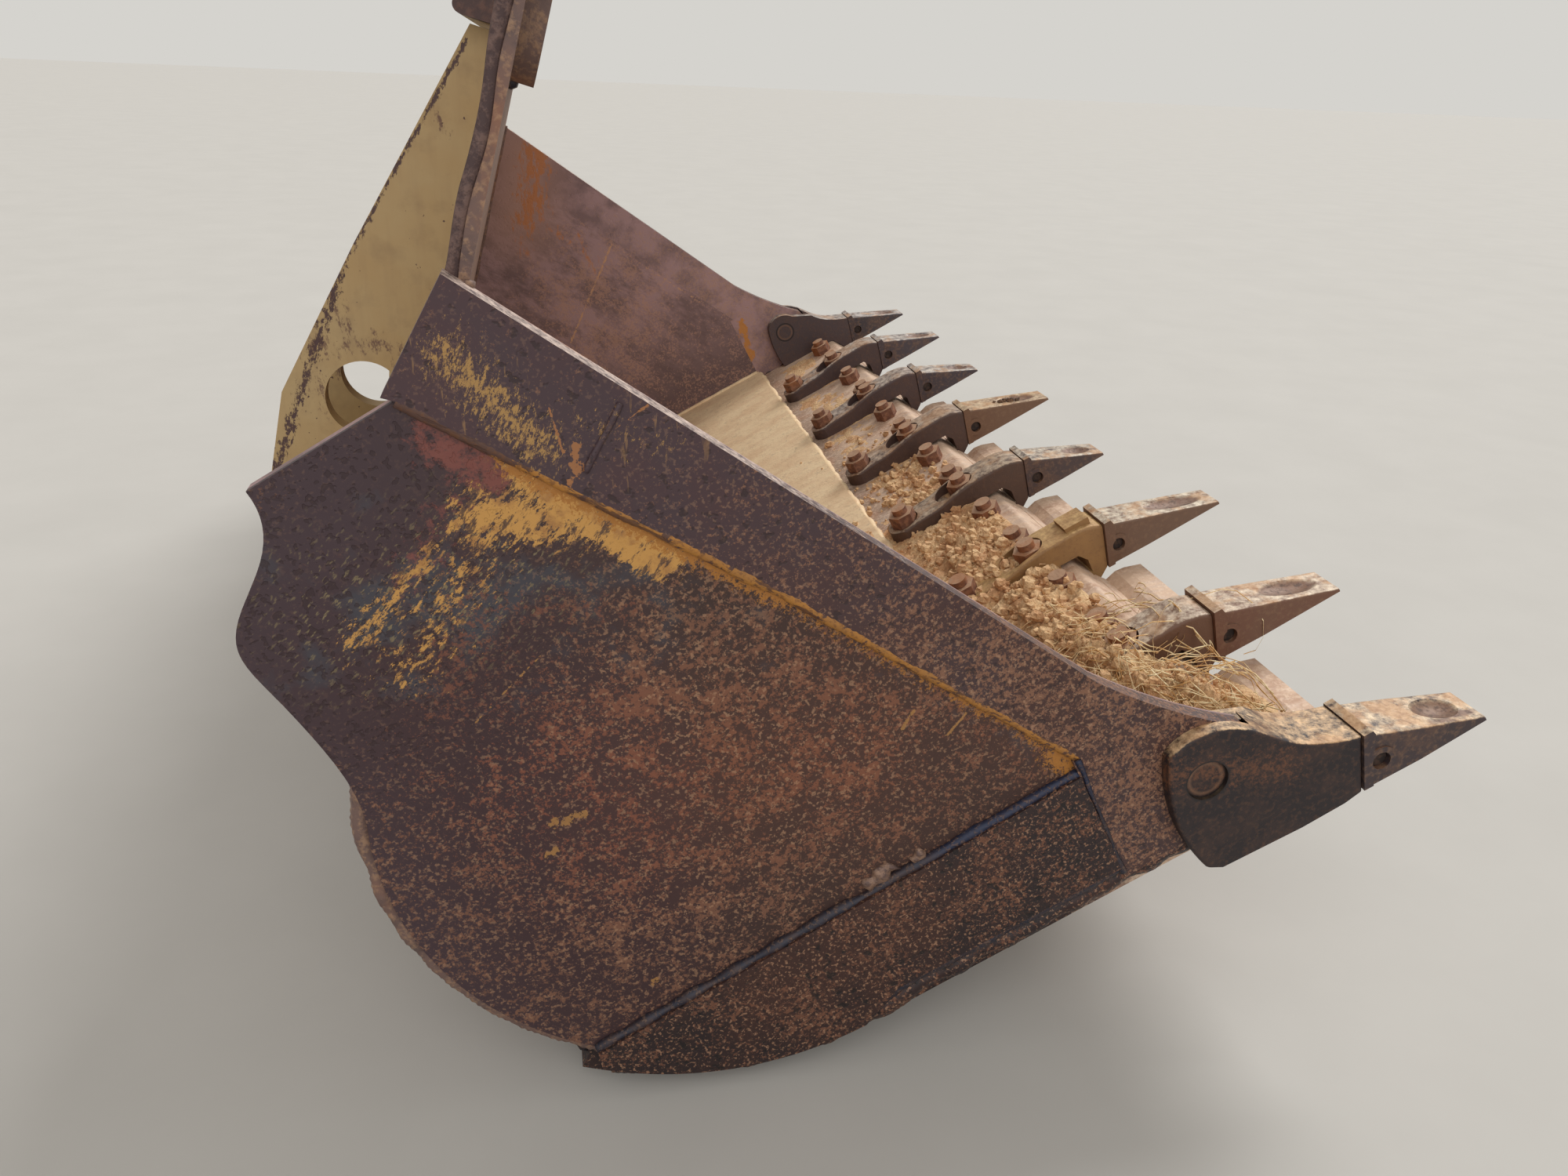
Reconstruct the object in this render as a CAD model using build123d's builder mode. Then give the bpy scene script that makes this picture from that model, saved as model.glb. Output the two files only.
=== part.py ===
from build123d import *
import os
from math import acos, asin, atan2, cos, degrees, hypot, radians, sin

os.makedirs("parts", exist_ok=True)

# A toothed general-purpose bucket of a crawler loader, tipped back as it is carried.
# The section of the bucket is drawn level: u runs ahead to the teeth and v up, both
# from the centre of the heel curve. Row frame: +X ahead, +Y to the machine's left,
# +Z up, origin on the axis of the two lift-arm pins, midway across the bucket.

# Whole bucket
width = 2400                  # over the outer faces of the two side bars
rack_angle = 28.8             # tipped back from level, teeth up
clearance = 0.3               # between curved or slanting faces that seat on each other

# Shell: floor, heel curve and back wall, rolled from one plate
heel_radius = 353             # to the inside face
shell_thickness = 18
shell_wrap = 133.8            # turn from the floor to the leaning back wall
floor_front = 350             # the floor plate ends here, lapped on the edge
wall_length = 757             # from the end of the heel curve to the top of the wall

# Plates on the back wall
lip_height, lip_thickness = 148, 20      # doubling plate along the top of the wall, inside
lip_end_gap, lip_corner_radius = 40, 45
rail_below_top, rail_height, rail_depth = 106, 60, 55    # stiffening rail behind the wall
rail_overhang, rail_corner_radius = 28, 9            # past the outer lift plates

# Cutting edge and the wear plate under the heel
edge_rear, edge_front, edge_thickness = 270, 610, 34
edge_bevel, edge_crest_radius = 24, 16   # run of the sloping front face, worn round on top
edge_inset = 22               # the edge ends this far inside the bars' outer faces
heel_plate_start = 218        # polar angle where the heel wear plate begins

# Sides
bar_thickness = 28            # side bar along the mouth
side_thickness = 20           # side plate behind the bar, inner faces flush
weld_ledge = 12               # the side plates stop short of the shell's outer face
wear_thickness = 12           # wear plate along the bottom of each side
mouth_top_at = (454.2, 4.9)   # top corner of the bar: along the wall, and out from its back
bar_heel_at = (340.9, 33.5)   # rear end of the bar, placed in the same way
weld_top_at = (340.6, 20.7)   # upper end of the weld line between bar and side plate
weld_middle_at = (158, 551)   # u, and height over the top of the edge
weld_low_at = (353.5, 193)
mouth_bend_at = (404, 275)    # where the straight mouth edge starts to sweep ahead
mouth_sweep_at = (467, 192.5)
mouth_lip_at = (540, 118)
bar_foot_u = 575              # front lower corner of the bar, on the edge
bar_seam_u = 345              # upright seam between side plate and bar
wear_overhang = 8             # the lower wear plate reaches this far past the shell
wear_rear_angle = 220         # polar angle of its rear end
wear_top_rear_angle, wear_top_height = 218, 172      # its top edge
wear_bottom_height, wear_climb = 20, (-10, 45)       # lower edge, and the climb up to it
lobe_shape = [                # worn rear edge: out from the shell's back, and polar angle
    (177.4, 111.28), (135.3, 117.02), (120.5, 127.1), (81, 131.41), (40.6, 136.18), (0.4, 144.15)]
lobe_foot_angle = 154         # polar angle where the lobe runs into the heel

# Ears behind the wall
lift_pin_out, lift_pin_angle = 70.1, 154.27          # out from the shell's back, polar angle
lift_bore, lift_boss_radius = 70, 78
boss_wall, boss_height = 25, 15          # ring round a bore, on the outer face of its plate
lift_plate_thickness, lift_gap, lift_centre = 25, 105, 705
lift_top_gap, lift_top_out = 6, 35       # top of the ears: below the rail, and out
lift_rear_at = [(387.5, 113.5), (198.7, 164.5), (100, 162.6)]     # along the wall, and out
lift_foot_angle = 208         # polar angle where the plate runs out on the heel
access_hole = 90              # in line with the tilt pin, for driving that pin out
tilt_pin_at = (213.2, 73.1)   # along the wall, and out from its back
tilt_bore, tilt_boss_radius = 60, 68
tilt_plate_thickness, tilt_gap = 25, 110
tilt_top, tilt_foot_angle = 487, 159     # along the wall, and a polar angle on the heel

# Tips on adapters, held by a key pin
tip_width, tip_end_width, tip_edge = 72, 62, 5       # tip_edge: thickness left at the end
tip_rear, tip_rake = 640, 17             # foot of the rear face, and its slant to the top
tip_top_height, tip_depth = 38, 76       # over the top of the edge, and from top to bottom
tip_shoulder = 716            # the sides run straight to here, then taper
tip_rounding = 4
tip_wear = [                  # right to left: length left, height of the collar's rim
    (167, 2), (203, 5), (216, 5), (168, 2), (203, 2), (161, 2), (177, 2), (172, 2)]
tooth_count = len(tip_wear)
collar_length = 12
socket_wall, socket_depth = 9, 85
socket_end_width, socket_end_height = 42, 22
socket_play = 1.0
dish_rear, dish_margin = 736, 12         # where the worn dish starts and what is left ahead
dish_width, dish_depth = 44, 8
key_pin, key_hole, key_length = 20, 23, 64
key_hole_at = (669.5, -8)     # u, and height over the top of the edge
key_ring_radius, key_ring_height = 19, 2
tip_gap = 1                   # between a tip's rear face and its adapter

# Adapters bolted over the edge
adapter_width, adapter_rear, adapter_leg = 70, 368, 24
under_rear, under_thickness = 430, 18    # lower leg, under the edge
adapter_crown = [             # u, and height over the top of the edge
    (409, 30), (437, 33), (474, 36), (509, 44), (548, 50), (584, 51), (630, 49)]
adapter_rounding = 6
pad_adapter, pad_width = 3, 46           # one adapter carries a raised pad
pad_rear, pad_front, pad_height = 598, 642, 59
pocket_width, pocket_length = 54, 84     # round the front nut
nut_seat = 29                 # radius of the flat seat under the rear nut
jaw_length, jaw_overlap, jaw_height = 34, 10, 8      # hollow over the edge's sloping front
jaw_gap, adapter_gap = 3, 2

# Adapters at the two corners, which also clasp the side bars
cheek_thickness = 18          # outside the side bar
cheek_foot = [(614, -43), (557, -45), (452, -41)]    # worn underside, front to rear
cheek_rear_shape = [(434, -29), (422, 32), (426, 96), (440, 143)]
cheek_top_shape = [(468, 154.5), (508, 147.5), (541, 124), (582, 77), (610, 58)]
cheek_rounding = 4
inner_cheek_radius = 50
inner_cheek_top_at = (562.6, 98.5)
plug_place, plug_diameter, plug_recess = (471.7, 91.6), 50, 5
plug_shank = 32

# Bolt-on edge segments between the adapters
segment_rear, segment_thickness = 480, 30
segment_shape = [(626, -53), (645, -47), (662, -49), (690, -59)]       # groove, ridge, front
segment_nose, segment_heel = 4, 14       # small chamfers at the front and rear underside
segment_end_gap = 4

# Plough bolts with flush heads below and hexagon nuts on top
bolt_diameter, bolt_hole, nut_across, nut_height, stud_end = 30, 31, 46, 26, 12
head_diameter, head_depth, head_taper = 44, 10, 35
rear_bolt_u, front_bolt_u, segment_bolt_u = 404, 533, 540
segment_bolt_spread = 73      # either side of a segment's middle

# Places worked out from the sizes above
shell_outer = heel_radius + shell_thickness
side_edge = shell_outer - weld_ledge
edge_top = -shell_outer
edge_bottom = edge_top - edge_thickness
edge_half = width / 2 - edge_inset
side_inner = width / 2 - bar_thickness
side_outer = side_inner + side_thickness
heel_plate_inner = shell_outer + clearance
heel_plate_outer = shell_outer + edge_thickness
wear_outer = shell_outer + wear_overhang
wall_angle = 270 - shell_wrap
leg_top = edge_top + adapter_leg
under_bottom = edge_bottom - under_thickness
segment_bottom = edge_bottom - segment_thickness
tip_top = edge_top + tip_top_height
tip_bottom = tip_top - tip_depth
tip_face_top = (tip_rear + tip_rake - tip_gap, tip_top)
tip_face_foot = (tip_rear - tip_gap, tip_bottom)
rail_start = wall_length - rail_below_top
jaw_front, jaw_wall = edge_front - jaw_overlap, edge_front + jaw_gap
jaw_rear = jaw_front - jaw_length
tooth_pitch = width / (tooth_count - 1)
corner_tooth = width / 2 + cheek_thickness - tip_width / 2
inner_teeth = [(i - tooth_count / 2 + 0.5) * tooth_pitch for i in range(1, tooth_count - 1)]
tooth_places = [-corner_tooth] + inner_teeth + [corner_tooth]
tooth_room = tip_width / 2 + max(rim for length, rim in tip_wear) + segment_end_gap
segment_spans = [(a + tooth_room, b - tooth_room) for a, b in zip(tooth_places, tooth_places[1:])]
segment_middles = [(a + b) / 2 for a, b in segment_spans]
sides = [("right", -1), ("left", 1)]

ahead = Vector(cos(radians(rack_angle)), 0, sin(radians(rack_angle)))
up = Vector(-sin(radians(rack_angle)), 0, cos(radians(rack_angle)))
wall_spoke = ahead * cos(radians(wall_angle)) + up * sin(radians(wall_angle))


def on_wall(along, out):
    """(u, v) of a point so far up the wall and so far out from the heel centre."""
    c, s = cos(radians(wall_angle)), sin(radians(wall_angle))
    return (out * c + along * s, out * s - along * c)


def on_heel(radius, angle):
    """(u, v) of a point on a circle round the heel centre."""
    return (radius * cos(radians(angle)), radius * sin(radians(angle)))


def behind_wall(along, out):
    """(u, v) of a point so far up the wall and so far out from its back."""
    return on_wall(along, shell_outer + out)


def on_edge(u, height):
    """(u, v) of a point at a height over the top of the edge."""
    return (u, edge_top + height)


mouth_top, bar_heel, weld_top = [behind_wall(*at) for at in (mouth_top_at, bar_heel_at, weld_top_at)]
mouth_bend, mouth_sweep, mouth_lip = [on_edge(*at) for at in (mouth_bend_at, mouth_sweep_at, mouth_lip_at)]
weld_middle, weld_low = on_edge(*weld_middle_at), on_edge(*weld_low_at)
rear_lobe = [on_heel(shell_outer + out, angle) for out, angle in lobe_shape]
lift_pin = on_heel(shell_outer + lift_pin_out, lift_pin_angle)
lift_top = behind_wall(rail_start - lift_top_gap, lift_top_out)
lift_rear = [behind_wall(*at) for at in lift_rear_at]
tilt_pin = behind_wall(*tilt_pin_at)
key_at, plug_at = on_edge(*key_hole_at), on_edge(*plug_place)
cheek_rear = [on_edge(*at) for at in cheek_rear_shape]
cheek_top = [cheek_rear[-1]] + [on_edge(*at) for at in cheek_top_shape]
inner_cheek_top = on_edge(*inner_cheek_top_at)
segment_top = [on_edge(*at) for at in segment_shape]
heel_centre = -(ahead * lift_pin[0] + up * lift_pin[1])


def section(y):
    """Upright plane along the bucket at y, sketched in (u, v); its normal points right."""
    return Plane(origin=heel_centre + Vector(0, y, 0), x_dir=ahead, z_dir=(0, -1, 0))


def level(v):
    """Plane parallel to the floor plate at height v, sketched in (u, y)."""
    return Plane(origin=heel_centre + up * v, x_dir=ahead, z_dir=up)


def facing(u):
    """Plane square to the floor plate at u, sketched in (y, v)."""
    return Plane(origin=heel_centre + ahead * u, x_dir=(0, 1, 0), z_dir=ahead)


def wall_face(out):
    """Plane along the back wall, out from the heel centre, sketched in (y, along)."""
    return Plane(origin=heel_centre + wall_spoke * out, x_dir=(0, 1, 0), z_dir=-wall_spoke)


def tangent_point(start, centre, radius, side):
    """Where the line from start touches a circle, on the side of +1 or -1."""
    run = hypot(start[0] - centre[0], start[1] - centre[1])
    angle = degrees(atan2(start[1] - centre[1], start[0] - centre[0]))
    angle += side * degrees(acos(radius / run))
    return (centre[0] + radius * cos(radians(angle)), centre[1] + radius * sin(radians(angle)))


def height_of(shape):
    """Height v of the middle of an edge or face."""
    return (shape.center() - heel_centre).dot(up)


def save(piece, name):
    piece.part.label = name
    export_step(piece.part, f"parts/{name}.step")


# Shell plate: floor, heel and back wall in one
with BuildPart() as wrapper:
    with BuildSketch(section(0)):
        with BuildLine():
            Polyline((0, -heel_radius), (floor_front, -heel_radius),
                     (floor_front, -shell_outer), (0, -shell_outer))
            CenterArc((0, 0), shell_outer, 270, -shell_wrap)
            Polyline(on_wall(0, shell_outer), on_wall(wall_length, shell_outer),
                     on_wall(wall_length, heel_radius), on_wall(0, heel_radius))
            CenterArc((0, 0), heel_radius, wall_angle, shell_wrap)
        make_face()
    extrude(amount=side_inner, both=True)
save(wrapper, "wrapper")

# Doubling plate along the top of the wall, set back from the wall's ends
with BuildPart() as lip_plate:
    with BuildSketch(wall_face(heel_radius)) as lip_outline:
        with Locations((0, wall_length - lip_height / 2)):
            Rectangle(2 * (side_inner - lip_end_gap), lip_height)
        fillet(lip_outline.vertices().group_by(Axis.Y)[0], lip_corner_radius)
    extrude(amount=lip_thickness)
save(lip_plate, "lip_plate")

# Rail behind the top of the wall, just above the lift plates
rail_half = lift_centre + lift_gap / 2 + lift_plate_thickness + rail_overhang
with BuildPart() as wall_rail:
    with BuildSketch(wall_face(shell_outer)):
        with Locations((0, rail_start + rail_height / 2)):
            Rectangle(2 * rail_half, rail_height)
    extrude(amount=-rail_depth)
    rear_face = wall_rail.faces().sort_by(Axis((0, 0, 0), wall_spoke))[-1]
    fillet(rear_face.edges().filter_by(Axis.Y), rail_corner_radius)
save(wall_rail, "wall_rail")

# Cutting edge with the holes for all the bolts that come up through it
rear_places = [(rear_bolt_u, y) for y in inner_teeth]
front_places = [(front_bolt_u, y) for y in inner_teeth]
segment_places = [(segment_bolt_u, middle + side * segment_bolt_spread)
                  for middle in segment_middles for side in (-1, 1)]
with BuildPart() as base_edge:
    with BuildSketch(section(0)) as edge_outline:
        with BuildLine():
            Polyline((edge_rear, edge_top), (edge_front - edge_bevel, edge_top),
                     (edge_front, edge_bottom), (edge_rear, edge_bottom), close=True)
        make_face()
        crest = edge_outline.vertices().sort_by_distance(
            heel_centre + ahead * (edge_front - edge_bevel) + up * edge_top)[0]
        fillet(crest, edge_crest_radius)
    extrude(amount=edge_half, both=True)
    with BuildSketch(level(edge_top)):
        with Locations(*rear_places, *front_places, *segment_places):
            Circle(bolt_hole / 2)
    extrude(amount=-edge_thickness, mode=Mode.SUBTRACT)
    with BuildSketch(level(edge_bottom)):
        with Locations(*rear_places):
            Circle(head_diameter / 2 + (bolt_hole - bolt_diameter) / 2)
    extrude(amount=head_depth, taper=head_taper, mode=Mode.SUBTRACT)
save(base_edge, "base_edge")

# Wear plate rolled round the heel and carried on flat to the rear of the edge
with BuildPart() as heel_plate:
    with BuildSketch(section(0)):
        with BuildLine():
            Polyline((0, -heel_plate_inner), (edge_rear, -heel_plate_inner),
                     (edge_rear, -heel_plate_outer), (0, -heel_plate_outer))
            CenterArc((0, 0), heel_plate_outer, 270, heel_plate_start - 270)
            Line(on_heel(heel_plate_outer, heel_plate_start),
                 on_heel(heel_plate_inner, heel_plate_start))
            CenterArc((0, 0), heel_plate_inner, heel_plate_start, 270 - heel_plate_start)
        make_face()
    extrude(amount=edge_half, both=True)
save(heel_plate, "heel_wear_plate")


def side_plate(hand):
    """Side plate with its worn rear lobe, up to the weld line of the side bar."""
    with BuildPart() as piece:
        with BuildSketch(section(hand * side_inner)):
            with BuildLine():
                lobe_foot = on_heel(side_edge, lobe_foot_angle)
                Polyline(weld_top, rear_lobe[0])
                Spline(*rear_lobe, lobe_foot)
                CenterArc((0, 0), side_edge, lobe_foot_angle, 270 - lobe_foot_angle)
                Polyline((0, -side_edge), (bar_seam_u, -side_edge), (bar_seam_u, weld_low[1]),
                         weld_low, weld_middle, weld_top)
            make_face()
        extrude(amount=-hand * side_thickness)
    return piece


def side_bar(hand):
    """Thicker bar along the mouth, widening down to the edge at the front corner."""
    with BuildPart() as piece:
        with BuildSketch(section(hand * side_inner)):
            with BuildLine():
                Line(mouth_top, mouth_bend)
                ThreePointArc(mouth_bend, mouth_sweep, mouth_lip)
                Polyline(mouth_lip, (bar_foot_u, edge_top), (bar_seam_u, edge_top),
                         (bar_seam_u, weld_low[1]), weld_low, weld_middle, weld_top,
                         bar_heel, mouth_top)
            make_face()
            with Locations(plug_at):
                Circle(plug_shank / 2 + clearance, mode=Mode.SUBTRACT)
        extrude(amount=-hand * bar_thickness)
    return piece


def side_wear_plate(hand):
    """Wear plate along the bottom of the side, reaching past the curve of the heel."""
    with BuildPart() as piece:
        with BuildSketch(section(hand * side_outer)):
            with BuildLine():
                climb_angle = 270 + degrees(asin(wear_climb[0] / wear_outer))
                CenterArc((0, 0), wear_outer, wear_rear_angle, climb_angle - wear_rear_angle)
                Polyline(on_heel(wear_outer, climb_angle), on_edge(wear_climb[1], wear_bottom_height),
                         on_edge(bar_seam_u, wear_bottom_height), on_edge(bar_seam_u, wear_top_height),
                         on_heel(side_edge, wear_top_rear_angle),
                         on_heel(wear_outer, wear_rear_angle))
            make_face()
        extrude(amount=-hand * wear_thickness)
    return piece


for side, hand in sides:
    save(side_plate(hand), f"side_plate_{side}")
    save(side_bar(hand), f"side_bar_{side}")
    save(side_wear_plate(hand), f"side_wear_plate_{side}")


def lift_plate(inner_y, hand):
    """One ear for a lift-arm pin: a tall plate up the wall with a boss round the bore."""
    with BuildPart() as piece:
        with BuildSketch(section(inner_y)):
            with BuildLine():
                seat = shell_outer + clearance
                rear_touch = tangent_point(lift_rear[-1], lift_pin, lift_boss_radius, 1)
                foot = on_heel(seat, lift_foot_angle)
                foot_touch = tangent_point(foot, lift_pin, lift_boss_radius, -1)
                Polyline(on_wall(0, seat), on_wall(rail_start - lift_top_gap, seat), lift_top,
                         *lift_rear, rear_touch, lift_pin, foot_touch, foot, close=True)
            make_face()
            with Locations(lift_pin):
                Circle(lift_boss_radius)
            Circle(seat, mode=Mode.SUBTRACT)
            with Locations(tilt_pin):
                Circle(access_hole / 2, mode=Mode.SUBTRACT)
        extrude(amount=-hand * lift_plate_thickness)
        with BuildSketch(section(inner_y + hand * lift_plate_thickness)):
            with Locations(lift_pin):
                Circle(lift_bore / 2 + boss_wall)
        extrude(amount=-hand * boss_height)
        with BuildSketch(section(inner_y)):
            with Locations(lift_pin):
                Circle(lift_bore / 2)
        extrude(amount=-hand * (lift_plate_thickness + boss_height), mode=Mode.SUBTRACT)
    return piece


for side, hand in sides:
    for place, toward in [("outer", hand), ("inner", -hand)]:
        face_y = hand * lift_centre + toward * lift_gap / 2
        save(lift_plate(face_y, toward), f"lift_plate_{side}_{place}")


def tilt_plate(hand):
    """One ear for the tilt-link pin, at the middle of the back wall."""
    with BuildPart() as piece:
        with BuildSketch(section(hand * tilt_gap / 2)):
            with BuildLine():
                seat = shell_outer + clearance
                top = on_wall(tilt_top, seat)
                foot = on_heel(seat, tilt_foot_angle)
                top_touch = tangent_point(top, tilt_pin, tilt_boss_radius, 1)
                foot_touch = tangent_point(foot, tilt_pin, tilt_boss_radius, -1)
                Polyline(on_wall(0, seat), top, top_touch, tilt_pin, foot_touch, foot, close=True)
            make_face()
            with Locations(tilt_pin):
                Circle(tilt_boss_radius)
                Circle(tilt_bore / 2, mode=Mode.SUBTRACT)
            Circle(seat, mode=Mode.SUBTRACT)
        extrude(amount=-hand * tilt_plate_thickness)
        with BuildSketch(section(hand * (tilt_gap / 2 + tilt_plate_thickness))):
            with Locations(tilt_pin):
                Circle(tilt_bore / 2 + boss_wall)
                Circle(tilt_bore / 2, mode=Mode.SUBTRACT)
        extrude(amount=-hand * boss_height)
    return piece


for side, hand in sides:
    save(tilt_plate(hand), f"tilt_plate_{side}")


def nose(y):
    """Tapered nose of an adapter; it fills a tip's socket."""
    play = 2 * (socket_wall + socket_play)
    end_middle = tip_bottom + socket_wall + socket_end_height / 2
    with BuildPart() as piece:
        with BuildSketch(facing(tip_rear - tip_gap)):
            with Locations((y, (tip_top + tip_bottom) / 2)):
                Rectangle(tip_width - play, tip_top - tip_bottom - play)
        with BuildSketch(facing(tip_rear + socket_depth - 2 * socket_play)):
            with Locations((y, end_middle)):
                Rectangle(socket_end_width - 2 * socket_play, socket_end_height - 2 * socket_play)
        loft()
    return piece


def key_bore(y):
    """Room for the key pin across an adapter's nose."""
    with BuildPart() as room:
        with BuildSketch(section(y)):
            with Locations(key_at):
                Circle(key_pin / 2 + clearance)
        extrude(amount=tip_width, both=True)
    return room


def bolt_room(places, head_v):
    """Room for plough bolts whose flush heads lie at head_v: a hole and a flared seat."""
    play = (bolt_hole - bolt_diameter) / 2
    with BuildPart() as room:
        with BuildSketch(level(head_v)):
            with Locations(*places):
                Circle(bolt_hole / 2)
        extrude(amount=edge_thickness + under_thickness + adapter_leg + nut_height)
        with BuildSketch(level(head_v)):
            with Locations(*places):
                Circle(head_diameter / 2 + play)
        extrude(amount=head_depth, taper=head_taper)
    return room


def adapter(y, number):
    """Two-legged adapter: a long upper leg with a seat for the rear nut, an arched crown
    with a pocket round the front nut, a short lower leg and the nose for the tip."""
    core, key_room = nose(y), key_bore(y)
    front_room = bolt_room([(front_bolt_u, y)], under_bottom)
    rear_room = bolt_room([(rear_bolt_u, y)], edge_bottom)
    leg_radius = rear_bolt_u - adapter_rear
    with BuildPart() as piece:
        with BuildSketch(section(y)):
            with BuildLine():
                Polyline((adapter_rear, leg_top), (adapter_rear, edge_top),
                         (jaw_rear, edge_top), (jaw_rear, edge_top + jaw_height),
                         (jaw_front, edge_top + jaw_height), (jaw_wall, edge_top - jaw_height),
                         (jaw_wall, edge_bottom), (under_rear, edge_bottom),
                         (under_rear, edge_bottom - under_thickness / 2),
                         (under_rear + under_thickness, under_bottom),
                         (tip_rear - under_thickness, under_bottom), tip_face_foot, tip_face_top)
                crown = [on_edge(*at) for at in adapter_crown]
                Spline(tip_face_top, *reversed(crown))
                Line(crown[0], (adapter_rear, leg_top))
            make_face()
        extrude(amount=adapter_width / 2, both=True)
        rims = piece.faces().filter_by(Axis.Y).edges().filter_by(Axis.Y, reverse=True)
        fillet([rim for rim in rims if height_of(rim) > leg_top], adapter_rounding)
        with BuildSketch(level(under_bottom)):
            with Locations((rear_bolt_u, y)):
                Circle(leg_radius)
            with Locations(((rear_bolt_u + tip_rear + tip_rake) / 2, y)):
                Rectangle(tip_rear + tip_rake - rear_bolt_u, adapter_width)
        extrude(amount=tip_width + edge_thickness + under_thickness, mode=Mode.INTERSECT)
        with BuildSketch(level(leg_top)):
            with Locations((front_bolt_u - (pocket_length - pocket_width) / 2, y)):
                SlotOverall(pocket_length, pocket_width)
            with Locations((rear_bolt_u, y)):
                Circle(nut_seat)
        extrude(amount=tip_width, mode=Mode.SUBTRACT)
        if number == pad_adapter:
            with BuildSketch(level(leg_top)):
                with Locations(((pad_rear + pad_front) / 2, y)):
                    Rectangle(pad_front - pad_rear, pad_width)
            extrude(amount=pad_height - adapter_leg)
        add(core.part)
        add([key_room.part, front_room.part, rear_room.part], mode=Mode.SUBTRACT)
    return piece


for number, y in enumerate(inner_teeth, start=2):
    save(adapter(y, number), f"adapter_{number}")


def corner_adapter(y, hand):
    """Adapter at a corner: it clasps the edge from above and below and the side bar
    between a large outer cheek and a small round inner one."""
    outer_face = hand * (width / 2 + cheek_thickness)
    core, key_room = nose(y), key_bore(y)
    with BuildPart() as piece:
        with BuildSketch(section(outer_face)):
            with BuildLine():
                Polyline(tip_face_top, tip_face_foot, *[on_edge(*at) for at in cheek_foot],
                         cheek_rear[0])
                Spline(*cheek_rear)
                Spline(*cheek_top, tip_face_top)
            make_face()
        extrude(amount=hand * tip_width)
        outer_rims = piece.faces().sort_by(Axis.Y)[-1 if hand > 0 else 0].edges()
        fillet([rim for rim in outer_rims if height_of(rim) > edge_bottom], cheek_rounding)
        with BuildSketch(section(hand * (width / 2 + clearance))):
            with BuildLine():
                Polyline((0, edge_top), (bar_foot_u + adapter_gap, edge_top),
                         (mouth_lip[0] + 2 * adapter_gap, mouth_lip[1]),
                         (mouth_lip[0] + adapter_gap, 0), (0, 0), close=True)
            make_face()
        extrude(amount=hand * (bar_thickness + 2 * clearance), mode=Mode.SUBTRACT)
        with BuildSketch(section(hand * (side_inner - clearance))):
            with BuildLine():
                Polyline((0, edge_top), (tip_rear, edge_top), (tip_rear, 0), (0, 0), close=True)
            make_face()
            with BuildLine():
                Polyline(plug_at, (plug_at[0], plug_at[1] + inner_cheek_radius),
                         inner_cheek_top, tip_face_top, (tip_rear, edge_top),
                         (plug_at[0] - inner_cheek_radius, edge_top),
                         (plug_at[0] - inner_cheek_radius, plug_at[1]), close=True)
            make_face(mode=Mode.SUBTRACT)
            with Locations(plug_at):
                Circle(inner_cheek_radius, mode=Mode.SUBTRACT)
        extrude(amount=hand * tip_width, mode=Mode.SUBTRACT)
        with BuildSketch(section(hand * (edge_half + clearance))):
            with BuildLine():
                Polyline((0, edge_top), (edge_front - edge_bevel + adapter_gap, edge_top),
                         (edge_front + adapter_gap, edge_bottom), (0, edge_bottom), close=True)
            make_face()
        extrude(amount=hand * tip_width, mode=Mode.SUBTRACT)
        with BuildSketch(section(outer_face)):
            with Locations(plug_at):
                Circle(plug_diameter / 2 + clearance)
        extrude(amount=hand * cheek_thickness, mode=Mode.SUBTRACT)
        with BuildSketch(section(outer_face)):
            with Locations(plug_at):
                Circle(plug_shank / 2 + clearance)
        extrude(amount=hand * 2 * tip_width, mode=Mode.SUBTRACT)
        add(core.part)
        add(key_room.part, mode=Mode.SUBTRACT)
    return piece


for (side, hand), y in zip(sides, (tooth_places[0], tooth_places[-1])):
    number = 1 if hand < 0 else tooth_count
    save(corner_adapter(y, hand), f"adapter_{number}")


def corner_plug(hand):
    """Round headed plug that ties the two cheeks of a corner adapter through the bar."""
    head_y = hand * (width / 2 + cheek_thickness - plug_recess)
    with BuildPart() as piece:
        with BuildSketch(section(head_y)):
            with Locations(plug_at):
                Circle(plug_diameter / 2)
        extrude(amount=hand * (cheek_thickness - plug_recess - clearance))
        with BuildSketch(section(head_y)):
            with Locations(plug_at):
                Circle(plug_shank / 2)
        extrude(amount=hand * (tip_width - plug_recess))
    return piece


for side, hand in sides:
    save(corner_plug(hand), f"corner_plug_{side}")


def dish(y, length):
    """Barrel-shaped hollow worn into the sloping top of a tip."""
    run, drop = length - tip_rake, tip_top - tip_bottom - tip_edge
    dish_front = tip_rear + length - dish_margin
    half_length, middle_u = (dish_front - dish_rear) / 2, (dish_front + dish_rear) / 2
    middle_v = tip_top - drop * (middle_u - tip_rear - tip_rake) / run
    face = Plane(origin=heel_centre + Vector(0, y, 0) + ahead * middle_u + up * middle_v,
                 x_dir=ahead * run - up * drop, z_dir=(0, -1, 0))
    axis_height = ((dish_width / 2) ** 2 - dish_depth ** 2) / (2 * dish_depth)
    with BuildPart() as hollow:
        with BuildSketch(face):
            with BuildLine():
                ThreePointArc((-half_length, 0), (0, -dish_depth), (half_length, 0))
                Polyline((half_length, 0), (half_length, axis_height),
                         (-half_length, axis_height), (-half_length, 0))
            make_face()
        revolve(axis=Axis(face.from_local_coords((0, axis_height, 0)), face.x_dir))
    return hollow


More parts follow.
